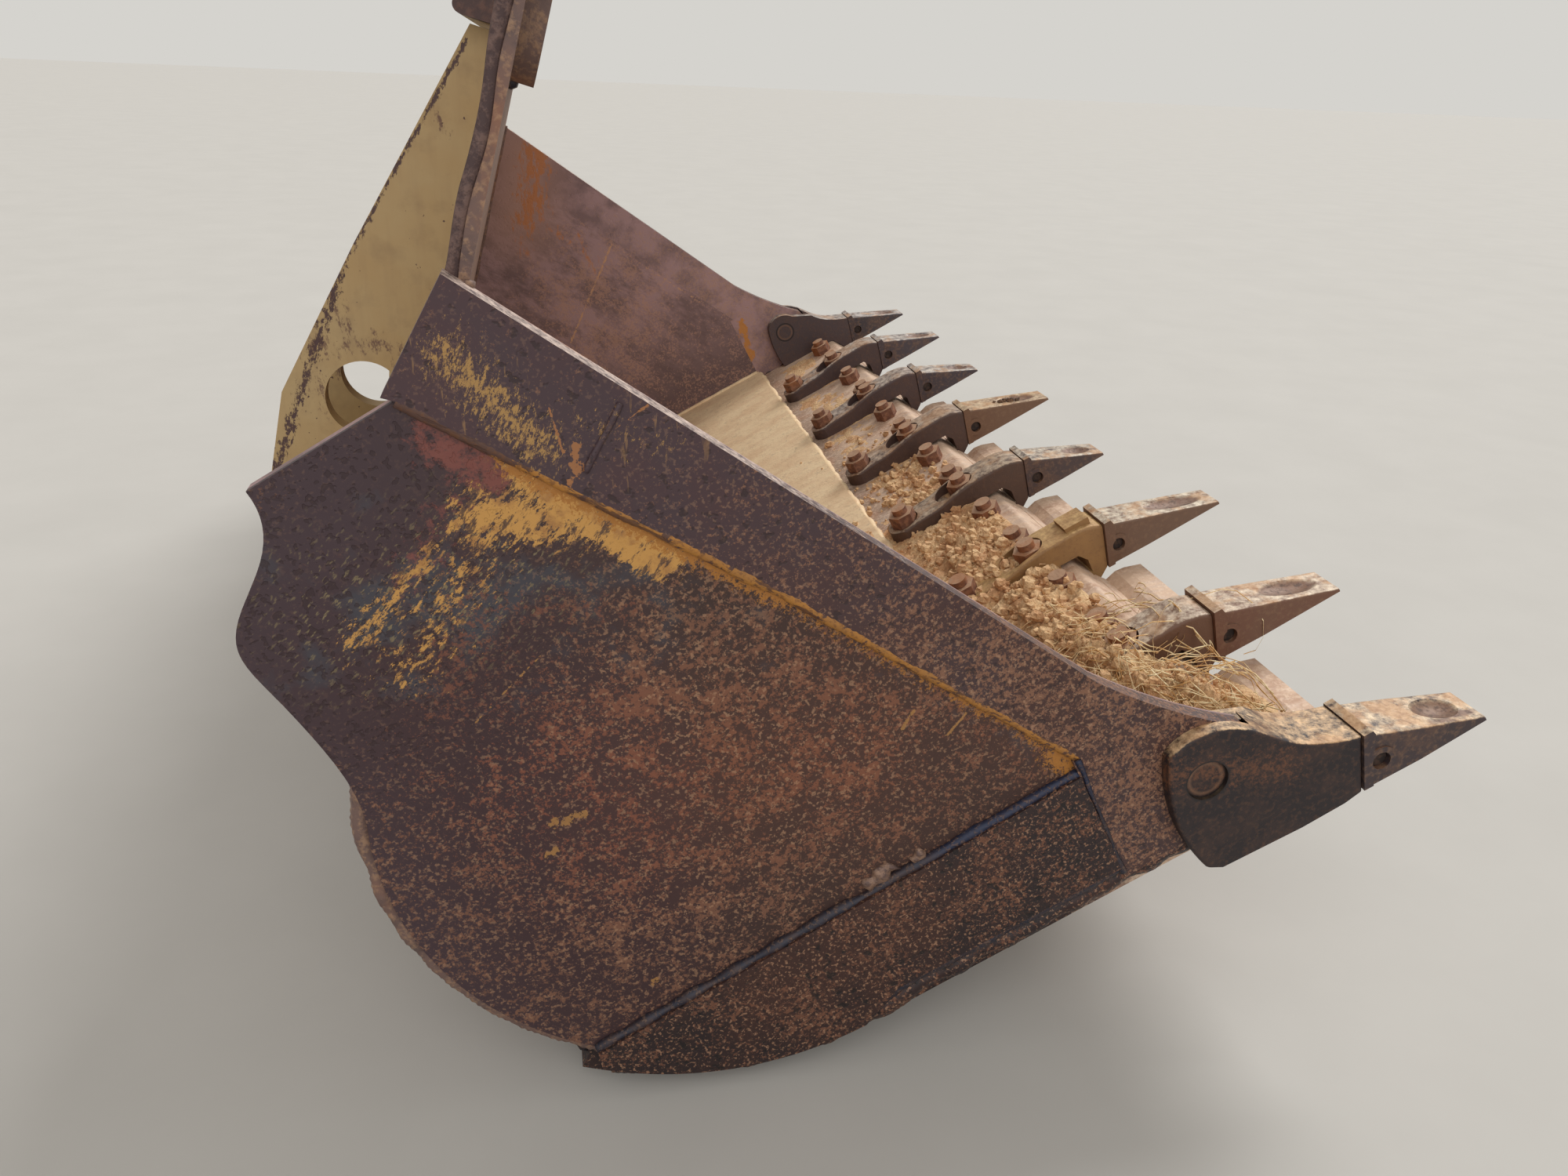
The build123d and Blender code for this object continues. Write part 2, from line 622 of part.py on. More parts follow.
def tooth_tip(y, length, rim):
    """Tapered tip, worn to its own length: a slanting rear face with a rimmed collar, a
    socket, a key hole in a low ring and a worn dish on top."""
    tip_end, half, end_half = tip_rear + length, tip_width / 2, tip_end_width / 2
    collar_rear = tip_rear + tip_rake * (1 + rim / (tip_top - tip_bottom))
    hollow = dish(y, length)
    with BuildPart() as piece:
        with BuildSketch(section(y)):
            with BuildLine():
                Polyline((tip_rear, tip_bottom), (tip_rear + tip_rake, tip_top),
                         (tip_end, tip_bottom + tip_edge), (tip_end, tip_bottom), close=True)
            make_face()
        extrude(amount=half, both=True)
        with BuildSketch(level(tip_bottom)):
            with BuildLine():
                Polyline((tip_rear, y - half), (tip_shoulder, y - half), (tip_end, y - end_half),
                         (tip_end, y + end_half), (tip_shoulder, y + half), (tip_rear, y + half),
                         close=True)
            make_face()
        extrude(amount=tip_top - tip_bottom, mode=Mode.INTERSECT)
        top_face = max(piece.faces(), key=height_of)
        fillet(top_face.edges().filter_by(Axis.Y, reverse=True), tip_rounding)
        with BuildSketch(section(y)):
            with BuildLine():
                Polyline((tip_rear, tip_bottom), (collar_rear, tip_top + rim),
                         (collar_rear + collar_length, tip_top + rim),
                         (collar_rear + collar_length + rim, tip_top - 2 * rim),
                         (tip_rear + collar_length, tip_bottom), close=True)
            make_face()
        extrude(amount=half + rim, both=True)
        with BuildSketch(section(y)):
            with Locations(key_at):
                Circle(key_ring_radius)
        extrude(amount=half + key_ring_height, both=True)
        with BuildSketch(facing(tip_rear)):
            with Locations((y, (tip_top + tip_bottom) / 2)):
                Rectangle(tip_width - 2 * socket_wall, tip_top - tip_bottom - 2 * socket_wall)
        with BuildSketch(facing(tip_rear + socket_depth)):
            with Locations((y, tip_bottom + socket_wall + socket_end_height / 2)):
                Rectangle(socket_end_width, socket_end_height)
        loft(mode=Mode.SUBTRACT)
        with BuildSketch(section(y)):
            with Locations(key_at):
                Circle(key_hole / 2)
        extrude(amount=tip_width, both=True, mode=Mode.SUBTRACT)
        add(hollow.part, mode=Mode.SUBTRACT)
    return piece


for number, (y, (length, rim)) in enumerate(zip(tooth_places, tip_wear), start=1):
    save(tooth_tip(y, length, rim), f"tooth_tip_{number}")

# Key pins, one through each tip and nose
with BuildPart() as key_pins:
    for y in tooth_places:
        with BuildSketch(section(y)):
            with Locations(key_at):
                Circle(key_pin / 2)
        extrude(amount=key_length / 2, both=True)
save(key_pins, "key_pins")


def edge_segment(middle, length):
    """Bolt-on wear segment under the edge, with a groove and a ridge ahead of the edge."""
    places = [(segment_bolt_u, middle + side * segment_bolt_spread) for side in (-1, 1)]
    room = bolt_room(places, segment_bottom)
    front = segment_top[-1][0]
    with BuildPart() as piece:
        with BuildSketch(section(middle)):
            with BuildLine():
                Polyline((segment_rear, edge_bottom), (edge_front + adapter_gap, edge_bottom),
                         *segment_top, (front - segment_nose, segment_bottom),
                         (segment_rear + segment_heel, segment_bottom),
                         (segment_rear, segment_bottom + segment_heel), close=True)
            make_face()
        extrude(amount=length / 2, both=True)
        add(room.part, mode=Mode.SUBTRACT)
    return piece


for number, (right_end, left_end) in enumerate(segment_spans, start=1):
    save(edge_segment((right_end + left_end) / 2, left_end - right_end), f"edge_segment_{number}")


def plough_bolts(places, head_v, seat_v):
    """Bolts with flush countersunk heads at head_v and nuts standing on seat_v."""
    grip = seat_v - head_v
    with BuildPart() as bolts:
        with BuildSketch(level(head_v)):
            with Locations(*places):
                Circle(bolt_diameter / 2)
        extrude(amount=grip + nut_height + stud_end)
        with BuildSketch(level(head_v)):
            with Locations(*places):
                Circle(head_diameter / 2)
        extrude(amount=head_depth, taper=head_taper)
        with BuildSketch(level(seat_v)):
            with Locations(*places):
                RegularPolygon(nut_across / 2, 6, major_radius=False)
        extrude(amount=nut_height)
    return bolts


save(plough_bolts(rear_places, edge_bottom, leg_top), "rear_bolts")
save(plough_bolts(front_places, under_bottom, leg_top), "front_bolts")
save(plough_bolts(segment_places, segment_bottom, edge_top), "segment_bolts")
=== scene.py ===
import math
import random

import bpy
from mathutils import Matrix, Vector, noise


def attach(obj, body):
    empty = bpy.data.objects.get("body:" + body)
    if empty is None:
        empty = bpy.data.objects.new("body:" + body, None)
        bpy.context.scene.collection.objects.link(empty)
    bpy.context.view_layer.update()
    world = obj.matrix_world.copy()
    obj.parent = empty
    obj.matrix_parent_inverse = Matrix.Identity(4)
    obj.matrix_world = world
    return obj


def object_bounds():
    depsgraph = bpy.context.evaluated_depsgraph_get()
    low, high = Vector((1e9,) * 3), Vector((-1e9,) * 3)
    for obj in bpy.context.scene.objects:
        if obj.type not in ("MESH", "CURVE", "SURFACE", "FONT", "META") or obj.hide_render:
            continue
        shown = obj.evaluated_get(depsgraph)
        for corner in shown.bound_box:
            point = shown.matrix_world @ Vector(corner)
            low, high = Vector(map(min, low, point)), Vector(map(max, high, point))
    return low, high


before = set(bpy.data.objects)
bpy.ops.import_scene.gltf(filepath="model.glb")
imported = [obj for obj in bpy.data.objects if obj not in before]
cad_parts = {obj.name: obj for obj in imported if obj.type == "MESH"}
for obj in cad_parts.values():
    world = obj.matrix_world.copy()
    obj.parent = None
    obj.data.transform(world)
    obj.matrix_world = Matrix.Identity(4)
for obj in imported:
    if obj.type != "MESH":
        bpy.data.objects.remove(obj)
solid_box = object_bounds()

# The shell: floor, heel and back wall, rolled from one 18 mm steel plate. The inside is
# scoured by soil, so it is brown rust with dust in it; the wall's ends are flame cut.
RACK = math.radians(28.8)  # the bucket is tipped back by this much
LIFT_PIN = (-0.3974, 0.1915)  # the frame's origin, seen from the heel's centre
SHELL_INNER, SHELL_OUTER = 0.353, 0.371  # the plate's two faces, from the heel's centre
WALL_ANGLE = math.radians(136.2)  # where the heel's curve runs out into the wall
SIDE_INNER = 1.172  # how far out the shell reaches, to the side plates


def tone(code):
    """Linear colour from an sRGB hex code, by the standard's own curve."""
    parts = [int(code[i:i + 2], 16) / 255 for i in (1, 3, 5)]
    return tuple(c / 12.92 if c < 0.04045 else ((c + 0.055) / 1.055) ** 2.4 for c in parts) + (1,)


def node(tree, kind, inputs=None, out=0, **settings):
    """Adds a node with its settings, and a value or link for each input; gives one output.
    Inputs go by name or number: Map Range takes its value as 0, the span it reads as 1 and
    2, and the span it gives as 3 and 4."""
    made = tree.nodes.new(kind)
    for name, value in settings.items():
        setattr(made, name, value)
    for socket, value in (inputs or {}).items():
        if isinstance(value, bpy.types.NodeSocket):
            tree.links.new(value, made.inputs[socket])
        else:
            made.inputs[socket].default_value = value
    return made.outputs[out]


def start_material(name):
    """A material with its tree, its shader, and a socket with (u, y, v) in metres."""
    made = bpy.data.materials.new(name)
    made.use_nodes = True
    tree = made.node_tree
    here = node(tree, "ShaderNodeTexCoord", out="Object")
    level = node(tree, "ShaderNodeMapping", {"Vector": here, "Rotation": (0, RACK, 0),
                                             "Location": (LIFT_PIN[0], 0, LIFT_PIN[1])})
    return made, tree, tree.nodes["Principled BSDF"], level


def cloud(tree, here, size_mm, detail=4, roughness=0.6, shift=0, turn=0, stretch=1):
    """Noise with features of a real size; turned and stretched, it runs like scratches."""
    turned = node(tree, "ShaderNodeMapping",
                  {"Vector": here, "Location": (shift, shift * 0.7, shift * 1.3),
                   "Rotation": (0, -math.radians(turn), 0), "Scale": (stretch, 1, 1)},
                  vector_type="TEXTURE")
    return node(tree, "ShaderNodeTexNoise", {"Vector": turned, "Scale": 1000 / size_mm,
                                             "Detail": detail, "Roughness": roughness})


def patches(tree, here, size_mm, low, high, **pattern):
    """A mask of ragged patches: a cloud cut between two levels."""
    return node(tree, "ShaderNodeMapRange", {0: cloud(tree, here, size_mm, **pattern),
                                             1: low, 2: high})


def times(tree, mask, *factors):
    """Product of masks and numbers, kept between 0 and 1."""
    for factor in factors:
        mask = node(tree, "ShaderNodeMath", {0: mask, 1: factor}, operation="MULTIPLY",
                    use_clamp=True)
    return mask


def flaked(tree, field, grain, soft=0.08):
    """Breaks a soft mask up by a cloud: solid where the mask is 1, in flakes as it fades."""
    level = node(tree, "ShaderNodeMapRange", {0: grain, 1: 0.32, 2: 0.66})
    over = node(tree, "ShaderNodeMath", {0: field, 1: level}, operation="SUBTRACT")
    return node(tree, "ShaderNodeMapRange", {0: over, 1: 0.0, 2: soft})


def layered(tree, ground, layers):
    """Colours laid over a ground one after the other: (mask, colour) or (mask, colour,
    strength) each. A colour is a hex code or a socket."""
    colour = tone(ground) if isinstance(ground, str) else ground
    for mask, top, *strength in layers:
        top = tone(top) if isinstance(top, str) else top
        colour = node(tree, "ShaderNodeMix", {0: times(tree, mask, *strength), 6: colour, 7: top},
                      out=2, data_type="RGBA")
    return colour


def roughen(tree, shader, layers):
    """Bumps of real height, in millimetres, from masks: (mask, height)."""
    height = 0.0
    for mask, rise in layers:
        height = node(tree, "ShaderNodeMath", {0: mask, 1: rise / 1000, 2: height},
                      operation="MULTIPLY_ADD")
    bump = node(tree, "ShaderNodeBump", {"Height": height, "Distance": 1.0, "Strength": 0.8},
                out="Normal")
    tree.links.new(bump, shader.inputs["Normal"])


def finish_shader(tree, shader, colour, metallic, rough, rough_mask=None, rough_to=0.5):
    """Sets colour and gloss; the roughness runs from rough to rough_to through a mask."""
    tree.links.new(colour, shader.inputs["Base Color"])
    shader.inputs["Metallic"].default_value = metallic
    shader.inputs["Roughness"].default_value = rough
    if rough_mask is not None:
        mixed = node(tree, "ShaderNodeMapRange", {0: rough_mask, 3: rough, 4: rough_to})
        tree.links.new(mixed, shader.inputs["Roughness"])


def dress(names, material, edge_mm=1.2, edge_material=None):
    """Gives CAD nodes their material, and rounds their edges as wear does."""
    for name in names:
        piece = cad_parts[name]
        piece.data.materials.clear()
        piece.data.materials.append(material)
        worn = piece.modifiers.new("worn edges", "BEVEL")
        worn.width, worn.segments, worn.limit_method = edge_mm / 1000, 2, "ANGLE"
        worn.angle_limit = math.radians(35)
        if edge_material:
            piece.data.materials.append(edge_material)
            worn.material = 1


# Hot-rolled plate under brown rust, as it weathers inside a bucket. It gives the eye a
# matt brown with orange blooms and dark scours, and pale soil dust low down.
scoured_plate, tree, shader, here = start_material("scoured plate steel")
bloom = patches(tree, here, 90, 0.48, 0.66)
scour = patches(tree, here, 30, 0.5, 0.64, shift=3)
speck = patches(tree, here, 9, 0.48, 0.66, detail=3, roughness=0.7, shift=5)
height = node(tree, "ShaderNodeSeparateXYZ", {0: here}, out="Z")
low = node(tree, "ShaderNodeMapRange", {0: height, 1: -0.22, 2: -0.350, 4: 1.45})
dust = flaked(tree, low, cloud(tree, here, 15, detail=5, roughness=0.75, shift=6), 0.7)
worn = patches(tree, here, 38, 0.42, 0.62, stretch=2, shift=11)
colour = layered(tree, "#6d564f", [
    (bloom, "#8a5f48", 0.7), (scour, "#54423f", 0.7), (speck, "#9a785f", 0.5),
    (dust, "#ecd2aa"), (times(tree, dust, worn), "#d3ab84", 0.45), (speck, "#b9946c", 0.2)])
finish_shader(tree, shader, colour, 0.15, 0.65, scour, 0.52)
roughen(tree, shader, [(scour, -0.25), (speck, 0.3)])
dress(["wrapper", "lip_plate"], scoured_plate)

# The welds that hold the shell between the sides, and run across it: steel, laid by hand
# in several passes, so they are lumpy and rippled, and half sunk in the plates.


def stroke(tree, here, start, end, inner, outer):
    """Mask of a brush stroke between two (u, v) points: 1 within inner metres of the line,
    fading to 0 at outer."""
    flat = node(tree, "ShaderNodeVectorMath", {0: here, 1: (1, 0, 1)}, operation="MULTIPLY")
    offset = node(tree, "ShaderNodeVectorMath", {0: flat, 1: (start[0], 0, start[1])},
                  operation="SUBTRACT")
    run = (end[0] - start[0], 0, end[1] - start[1])
    dot = node(tree, "ShaderNodeVectorMath", {0: offset, 1: run}, out="Value",
               operation="DOT_PRODUCT")
    share = node(tree, "ShaderNodeMath", {0: dot, 1: max(run[0] ** 2 + run[2] ** 2, 1e-9)},
                 operation="DIVIDE", use_clamp=True)
    nearest = node(tree, "ShaderNodeVectorMath", {0: run, "Scale": share}, operation="SCALE")
    far = node(tree, "ShaderNodeVectorMath", {0: offset, 1: nearest}, out="Value",
               operation="DISTANCE")
    return node(tree, "ShaderNodeMapRange", {0: far, 1: outer, 2: inner})


# Bare weld metal: dark and blue-brown, flecked with rust, and bluer where it was hottest.
weld_steel, tree, shader, here = start_material("weld metal")
lump = patches(tree, here, 14, 0.4, 0.6)
flake = patches(tree, here, 5, 0.52, 0.64, detail=3, shift=2)
blued = stroke(tree, here, (0.20, -0.203), (0.335, -0.200), 0.02, 0.06)
colour = layered(tree, "#272733", [
    (lump, "#41312f", 0.6), (blued, "#1d2944", 0.7), (flake, "#755a48", 0.5)])
finish_shader(tree, shader, colour, 0.3, 0.5)
roughen(tree, shader, [(flake, 0.4)])

# A flame cut leaves a rough skin, purple-brown with its scale and rubbed tan in spots.
flame_cut, tree, shader, here = start_material("flame cut edge")
scale = patches(tree, here, 16, 0.45, 0.6, roughness=0.75)
colour = layered(tree, "#43302f", [(scale, "#69514a")])
finish_shader(tree, shader, colour, 0.1, 0.65)
roughen(tree, shader, [(scale, 0.6)])


def spot(u, v, y):
    """A point of the bucket: u ahead and v up from the heel's centre, as if it stood level."""
    u, v = u - LIFT_PIN[0], v - LIFT_PIN[1]
    return Vector((u * math.cos(RACK) - v * math.sin(RACK), y,
                   u * math.sin(RACK) + v * math.cos(RACK)))


def up_wall(along, out):
    """(u, v) of a point up the back wall, so far out from the heel's centre."""
    c, s = math.cos(WALL_ANGLE), math.sin(WALL_ANGLE)
    return out * c + along * s, out * s - along * c


def round_heel(radius, angle):
    """(u, v) on a circle round the heel's centre; the angle is in degrees."""
    return radius * math.cos(math.radians(angle)), radius * math.sin(math.radians(angle))


def add_piece(name, verts, faces, material, smooth=True):
    """A piece of the bucket that the solids leave out, from its points and faces."""
    mesh = bpy.data.meshes.new(name)
    mesh.from_pydata(verts, [], faces)
    mesh.polygons.foreach_set("use_smooth", [smooth] * len(mesh.polygons))
    mesh.materials.append(material)
    piece = bpy.data.objects.new(name, mesh)
    bpy.context.scene.collection.objects.link(piece)
    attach(piece, "root")


BEAD_STEP, BEAD_SIDES = 0.004, 8  # distance between a bead's rings, and corners of each
RIPPLE_STEP = 0.009  # distance between ripples, as the hand moved on


def bead(name, points, material, radius, lumpy=0.25, ripple=0.06, flatten=1.0,
         swells=35, seed=0):
    """A weld bead along a line of points: a rod with ripples and lumps, half sunk in the
    plates. flatten squeezes it along y, for a bead that lies on a side, and swells is how
    many lumps come in a metre."""
    line = [Vector(p) for p in points]
    verts, faces, run = [], [], 0.0
    for a, b in zip(line, line[1:]):
        steps = max(1, round((b - a).length / BEAD_STEP))
        along = (b - a).normalized()
        across = Vector((0, 1, 0)) if abs(along.y) < 0.9 else along.orthogonal().normalized()
        other = along.cross(across).normalized()
        for k in range(steps + 1 if b is line[-1] else steps):
            here = a.lerp(b, k / steps)
            run += BEAD_STEP
            swell = noise.noise(Vector((run * swells, seed, radius * 900)))
            wave = ripple * math.sin(run * 2 * math.pi / RIPPLE_STEP)
            size = radius * (1 + wave + lumpy * swell)
            sway = noise.noise(Vector((run * swells * 0.6, seed + 7, 3)))
            shift = other * (radius * lumpy * sway)
            for j in range(BEAD_SIDES):
                t = 2 * math.pi * j / BEAD_SIDES
                verts.append(here + shift + size * (across * (flatten * math.cos(t))
                                                    + other * math.sin(t)))
    rings = len(verts) // BEAD_SIDES
    for i in range(rings - 1):
        for j in range(BEAD_SIDES):
            k = (j + 1) % BEAD_SIDES
            faces.append((i * BEAD_SIDES + j, i * BEAD_SIDES + k,
                          (i + 1) * BEAD_SIDES + k, (i + 1) * BEAD_SIDES + j))
    faces.append(tuple(range(BEAD_SIDES - 1, -1, -1)))
    faces.append(tuple(range((rings - 1) * BEAD_SIDES, rings * BEAD_SIDES)))
    add_piece(name, verts, faces, material)


SIDE_REACH = 0.45  # the sides are welded to the wall up to here
for hand, side in ((-1, "right"), (1, "left")):
    inside = hand * SIDE_INNER
    corner = [spot(0.345, -SHELL_INNER, inside)]
    corner += [spot(*round_heel(SHELL_INNER, a), inside) for a in range(270, 135, -5)]
    corner += [spot(*up_wall(SIDE_REACH, SHELL_INNER), inside)]
    bead(f"corner_weld_{side}", corner, scoured_plate, radius=0.006)
    # The wall's end is flame cut by hand, and its rear corner is left wavy
    cut = [spot(*up_wall(0.22 + 0.02 * k, SHELL_OUTER - 0.002), inside) for k in range(26)]
    bead(f"wall_end_{side}", cut, flame_cut, radius=0.0085, lumpy=1.0,
         ripple=0, flatten=0.45, swells=16)
    behind = [spot(*round_heel(SHELL_OUTER - 0.006, a), hand * (SIDE_INNER + 0.002))
              for a in range(220, 135, -4)]
    behind += [spot(*up_wall(0.03 * k, SHELL_OUTER - 0.006), hand * (SIDE_INNER + 0.002))
               for k in range(1, 8)]
    bead(f"heel_weld_{side}", behind, scoured_plate, radius=0.011)

bead("floor_weld", [spot(0.350, -0.364, end) for end in (-SIDE_INNER, SIDE_INNER)],
     scoured_plate, radius=0.0085, lumpy=0.5)
LIP_FOOT, LIP_WELD_END = up_wall(0.609, SHELL_INNER), 1.132 - 0.045
bead("lip_weld", [spot(*LIP_FOOT, end) for end in (-LIP_WELD_END, LIP_WELD_END)],
     weld_steel, radius=0.007)

# The cutting edge and the segments bolted on between its teeth, and the wear plates welded
# round the heel and along the sides' feet: hard rolled plate that slides through the soil.
EDGE_TOP = -0.371  # level of the edge's top face

# Rolled plate that soil runs over: rubbed pale and matt on top, brown with rust behind. Its
# grit is really about 1 mm, and is drawn 7 mm so that it shows.
worn_edge, tree, shader, here = start_material("worn edge steel")
u_of = node(tree, "ShaderNodeSeparateXYZ", {0: here}, out="X")
scoured = node(tree, "ShaderNodeMapRange", {0: u_of, 1: 0.33, 2: 0.42})
stain = patches(tree, here, 45, 0.48, 0.62)
grit = patches(tree, here, 7, 0.48, 0.66, detail=3, shift=4)
rub = patches(tree, here, 20, 0.5, 0.62, stretch=4, shift=7)
colour = layered(tree, "#54403a", [
    (scoured, "#d0b298"), (stain, "#a9836b", 0.7), (rub, "#bfa99a", 0.5), (grit, "#e3cab0", 0.5)])
finish_shader(tree, shader, colour, 0.15, 0.62, rub, 0.5)
roughen(tree, shader, [(grit, 0.3), (stain, 0.3)])
dress(["base_edge"] + [f"edge_segment_{i}" for i in range(1, 8)], worn_edge, 2.5)

# Rolled plate near the ground: almost black, with tan grains of rust and small pits. Real
# grains are 1 to 3 mm across, and are drawn 4 to 6 mm so that they show.
ground_plate, tree, shader, here = start_material("ground plate steel")
clump = cloud(tree, here, 60, detail=3, shift=1)
amount = node(tree, "ShaderNodeMapRange", {0: clump, 1: 0.36, 2: 0.64, 3: 0.2, 4: 0.62})
rust = flaked(tree, amount, cloud(tree, here, 6, detail=3, roughness=0.8), 0.3)
pit = patches(tree, here, 12, 0.6, 0.68, detail=2, shift=9)
speck = times(tree, patches(tree, here, 4.5, 0.57, 0.65, detail=2, shift=6), 0.75)
colour = layered(tree, "#281b1c", [
    (patches(tree, here, 140, 0.45, 0.65, shift=3), "#3d251f"), (rust, "#754d39", 0.85),
    (speck, "#9d775d"), (pit, "#171011", 0.85)])
finish_shader(tree, shader, colour, 0.2, 0.55, rust, 0.7)
roughen(tree, shader, [(rust, 0.3), (pit, -0.6)])
dress(["heel_wear_plate", "side_wear_plate_right", "side_wear_plate_left"], ground_plate, 2)

# The sides: a 20 mm side plate whose rear edge is flame cut in lobes, and a 28 mm bar
# welded to it along the mouth. Bare rusty steel, with some yellow paint left at the weld.
SIDE_OUTER, BAR_OUTER = 1.192, 1.200  # how far out the plate's and the bar's faces are
BAR_SEAM = [(-0.047, 0.517), (0.158, 0.180), (0.3535, -0.178)]  # the weld, from its top down
PALE_CORNER = (0.06, 0.50), (-0.04, 0.36), 0.0, 0.16  # a stroke where the inside is paler


def strokes(tree, here, table):
    """The strongest of several strokes: (start, end, inner, outer, strength) each."""
    strongest = 0.0
    for start, end, inner, outer, strength in table:
        part = times(tree, stroke(tree, here, start, end, inner, outer), strength)
        strongest = node(tree, "ShaderNodeMath", {0: part, 1: strongest}, operation="MAXIMUM")
    return strongest


def flecks(tree, here, table, size_mm, soft=0.08, **pattern):
    """The same strokes, broken into flecks by a cloud of that size."""
    return flaked(tree, strokes(tree, here, table), cloud(tree, here, size_mm, **pattern), soft)


def reach_out(tree, here):
    """Distance from the bucket's middle, to either side."""
    y_of = node(tree, "ShaderNodeSeparateXYZ", {0: here}, out="Y")
    return node(tree, "ShaderNodeMath", {0: y_of}, operation="ABSOLUTE")


def facing(tree, lean, low, high):
    """Mask of the faces that look one way: up the section, leaned ahead by so many radians."""
    normal = node(tree, "ShaderNodeNewGeometry", out="Normal")
    way = spot(math.sin(lean), math.cos(lean), 0) - spot(0, 0, 0)
    look = node(tree, "ShaderNodeVectorMath", {0: normal, 1: way}, out="Value",
                operation="DOT_PRODUCT")
    return node(tree, "ShaderNodeMapRange", {0: look, 1: low, 2: high})


def rust_runs(tree, here):
    """Mask of the orange runs down the inside, over plate and bar alike."""
    return flecks(tree, here, [
        ((0.10, 0.475), (-0.015, 0.345), 0.01, 0.075, 0.85),
        ((0.04, 0.43), (-0.07, 0.27), 0.0, 0.05, 0.55),
        ((-0.02, 0.36), (0.10, 0.16), 0.0, 0.03, 0.45),
        ((0.08, 0.24), (0.07, 0.12), 0.0, 0.02, 0.6)], 12, 0.3, roughness=0.75, turn=60, stretch=3)


# Hot-rolled plate left to rust: a dark purple-brown with tan grains, crowded low and ahead,
# and pitted and scratched high at the rear, with a bluish sheen painted on there. Real
# grains are 1 to 3 mm, and are drawn 4 to 6 mm so that they show.
side_steel, tree, shader, here = start_material("rusty side plate steel")
inside = node(tree, "ShaderNodeMapRange", {0: reach_out(tree, here), 1: 1.186, 2: 1.184})
grain = cloud(tree, here, 6, detail=3, roughness=0.8)
clump = cloud(tree, here, 45, roughness=0.7, shift=1)
slope = node(tree, "ShaderNodeVectorMath", {0: here, 1: (1, 0, -0.45)}, out="Value",
             operation="DOT_PRODUCT")
calm = stroke(tree, here, (-0.26, 0.36), (-0.06, 0.44), 0.05, 0.24)
dense = strokes(tree, here, [((0.01, 0.14), (0.11, 0.0), 0.02, 0.16, 0.20),
                             ((-0.16, -0.10), (0.03, -0.10), 0.0, 0.13, 0.16)])
ahead = node(tree, "ShaderNodeMapRange", {0: calm, 3: 0.47, 4: 0.06})
ahead = node(tree, "ShaderNodeMath", {0: ahead, 1: dense}, operation="ADD")
crowd = node(tree, "ShaderNodeMapRange", {0: clump, 1: 0.34, 2: 0.66, 3: 0.3, 4: 1.55})
rust = flaked(tree, node(tree, "ShaderNodeMath", {0: ahead, 1: crowd}, operation="MULTIPLY"),
              grain, 0.3)
bloom = strokes(tree, here, [((-0.02, 0.03), (0.13, -0.03), 0.02, 0.20, 0.9),
                             ((0.25, -0.06), (0.30, -0.13), 0.0, 0.08, 0.7)])
# A bluish sheen painted on, high at the rear and along two strips ahead; it also greys the rust
# there.
painted_sheen = flecks(tree, here, [
    ((-0.16, 0.36), (-0.06, 0.31), 0.03, 0.17, 0.8), ((0.0, 0.30), (0.10, 0.17), 0.0, 0.07, 0.7),
    ((0.20, 0.04), (0.30, -0.12), 0.0, 0.05, 0.6)], 70, 0.4, shift=4)
speck = times(tree, patches(tree, here, 4.5, 0.57, 0.65, detail=2, shift=17), ahead)
pit = times(tree, patches(tree, here, 6.5, 0.59, 0.63, detail=1, shift=3),
            stroke(tree, here, (-0.25, 0.33), (-0.07, 0.45), 0.08, 0.20))
fleck = flecks(tree, here, [
    ((-0.17, 0.25), (-0.10, 0.32), 0.0, 0.09, 0.55), ((-0.10, 0.32), (0.03, 0.24), 0.0, 0.05, 0.5),
    ((-0.12, 0.20), (-0.03, 0.16), 0.0, 0.06, 0.5)], 8, 0.2, roughness=0.75, shift=12)
primer = flecks(tree, here, [
    ((-0.030, 0.468), (-0.012, 0.430), 0.012, 0.045, 1.25),
    ((-0.05, 0.42), (-0.13, 0.375), 0.0, 0.045, 0.62)], 11, 0.5, roughness=0.8, shift=14)
lace = patches(tree, here, 9, 0.55, 0.60, detail=5, roughness=0.75, turn=28, stretch=3.5,
               shift=19)
paint = flecks(tree, here, [
    ((0.018, 0.405), (0.075, 0.275), 0.010, 0.038, 1.1),
    ((-0.05, 0.39), (0.03, 0.345), 0.004, 0.055, 0.80),
    ((-0.21, 0.345), (-0.10, 0.385), 0.0, 0.032, 0.62),
    ((-0.18, 0.30), (-0.04, 0.38), 0.0, 0.085, 0.50)],
    8, detail=7, roughness=0.8, turn=18, stretch=2.2, shift=8)
stripe = flecks(tree, here, [
    ((0.008, 0.425), BAR_SEAM[1], 0.007, 0.030, 0.95), (*BAR_SEAM[1:], 0.002, 0.027, 0.85),
    ((0.335, -0.165), (0.345, -0.19), 0.008, 0.035, 0.85)], 5, 0.2, roughness=0.85, shift=9)
mark = flecks(tree, here, [
    ((0.196, -0.033), (0.215, -0.020), 0.0005, 0.0035, 0.95),
    ((0.236, -0.068), (0.264, -0.055), 0.0005, 0.0035, 0.95),
    ((-0.163, 0.071), (-0.136, 0.064), 0.001, 0.012, 0.75),
    ((-0.190, 0.042), (-0.179, 0.042), 0.001, 0.007, 0.75),
    ((-0.185, -0.176), (-0.180, -0.175), 0.003, 0.007, 0.7),
    ((-0.165, 0.215), (-0.072, 0.245), 0.0004, 0.0018, 0.5)], 7, roughness=0.7, shift=16)
smear = times(tree, patches(tree, here, 4, 0.58, 0.66, detail=2, turn=20, stretch=2.5, shift=5),
              stroke(tree, here, (-0.2, 0.37), (-0.06, 0.34), 0.02, 0.12))
red = strokes(tree, here, [((-0.17, 0.27), (-0.14, 0.06), 0.03, 0.17, 0.8)])
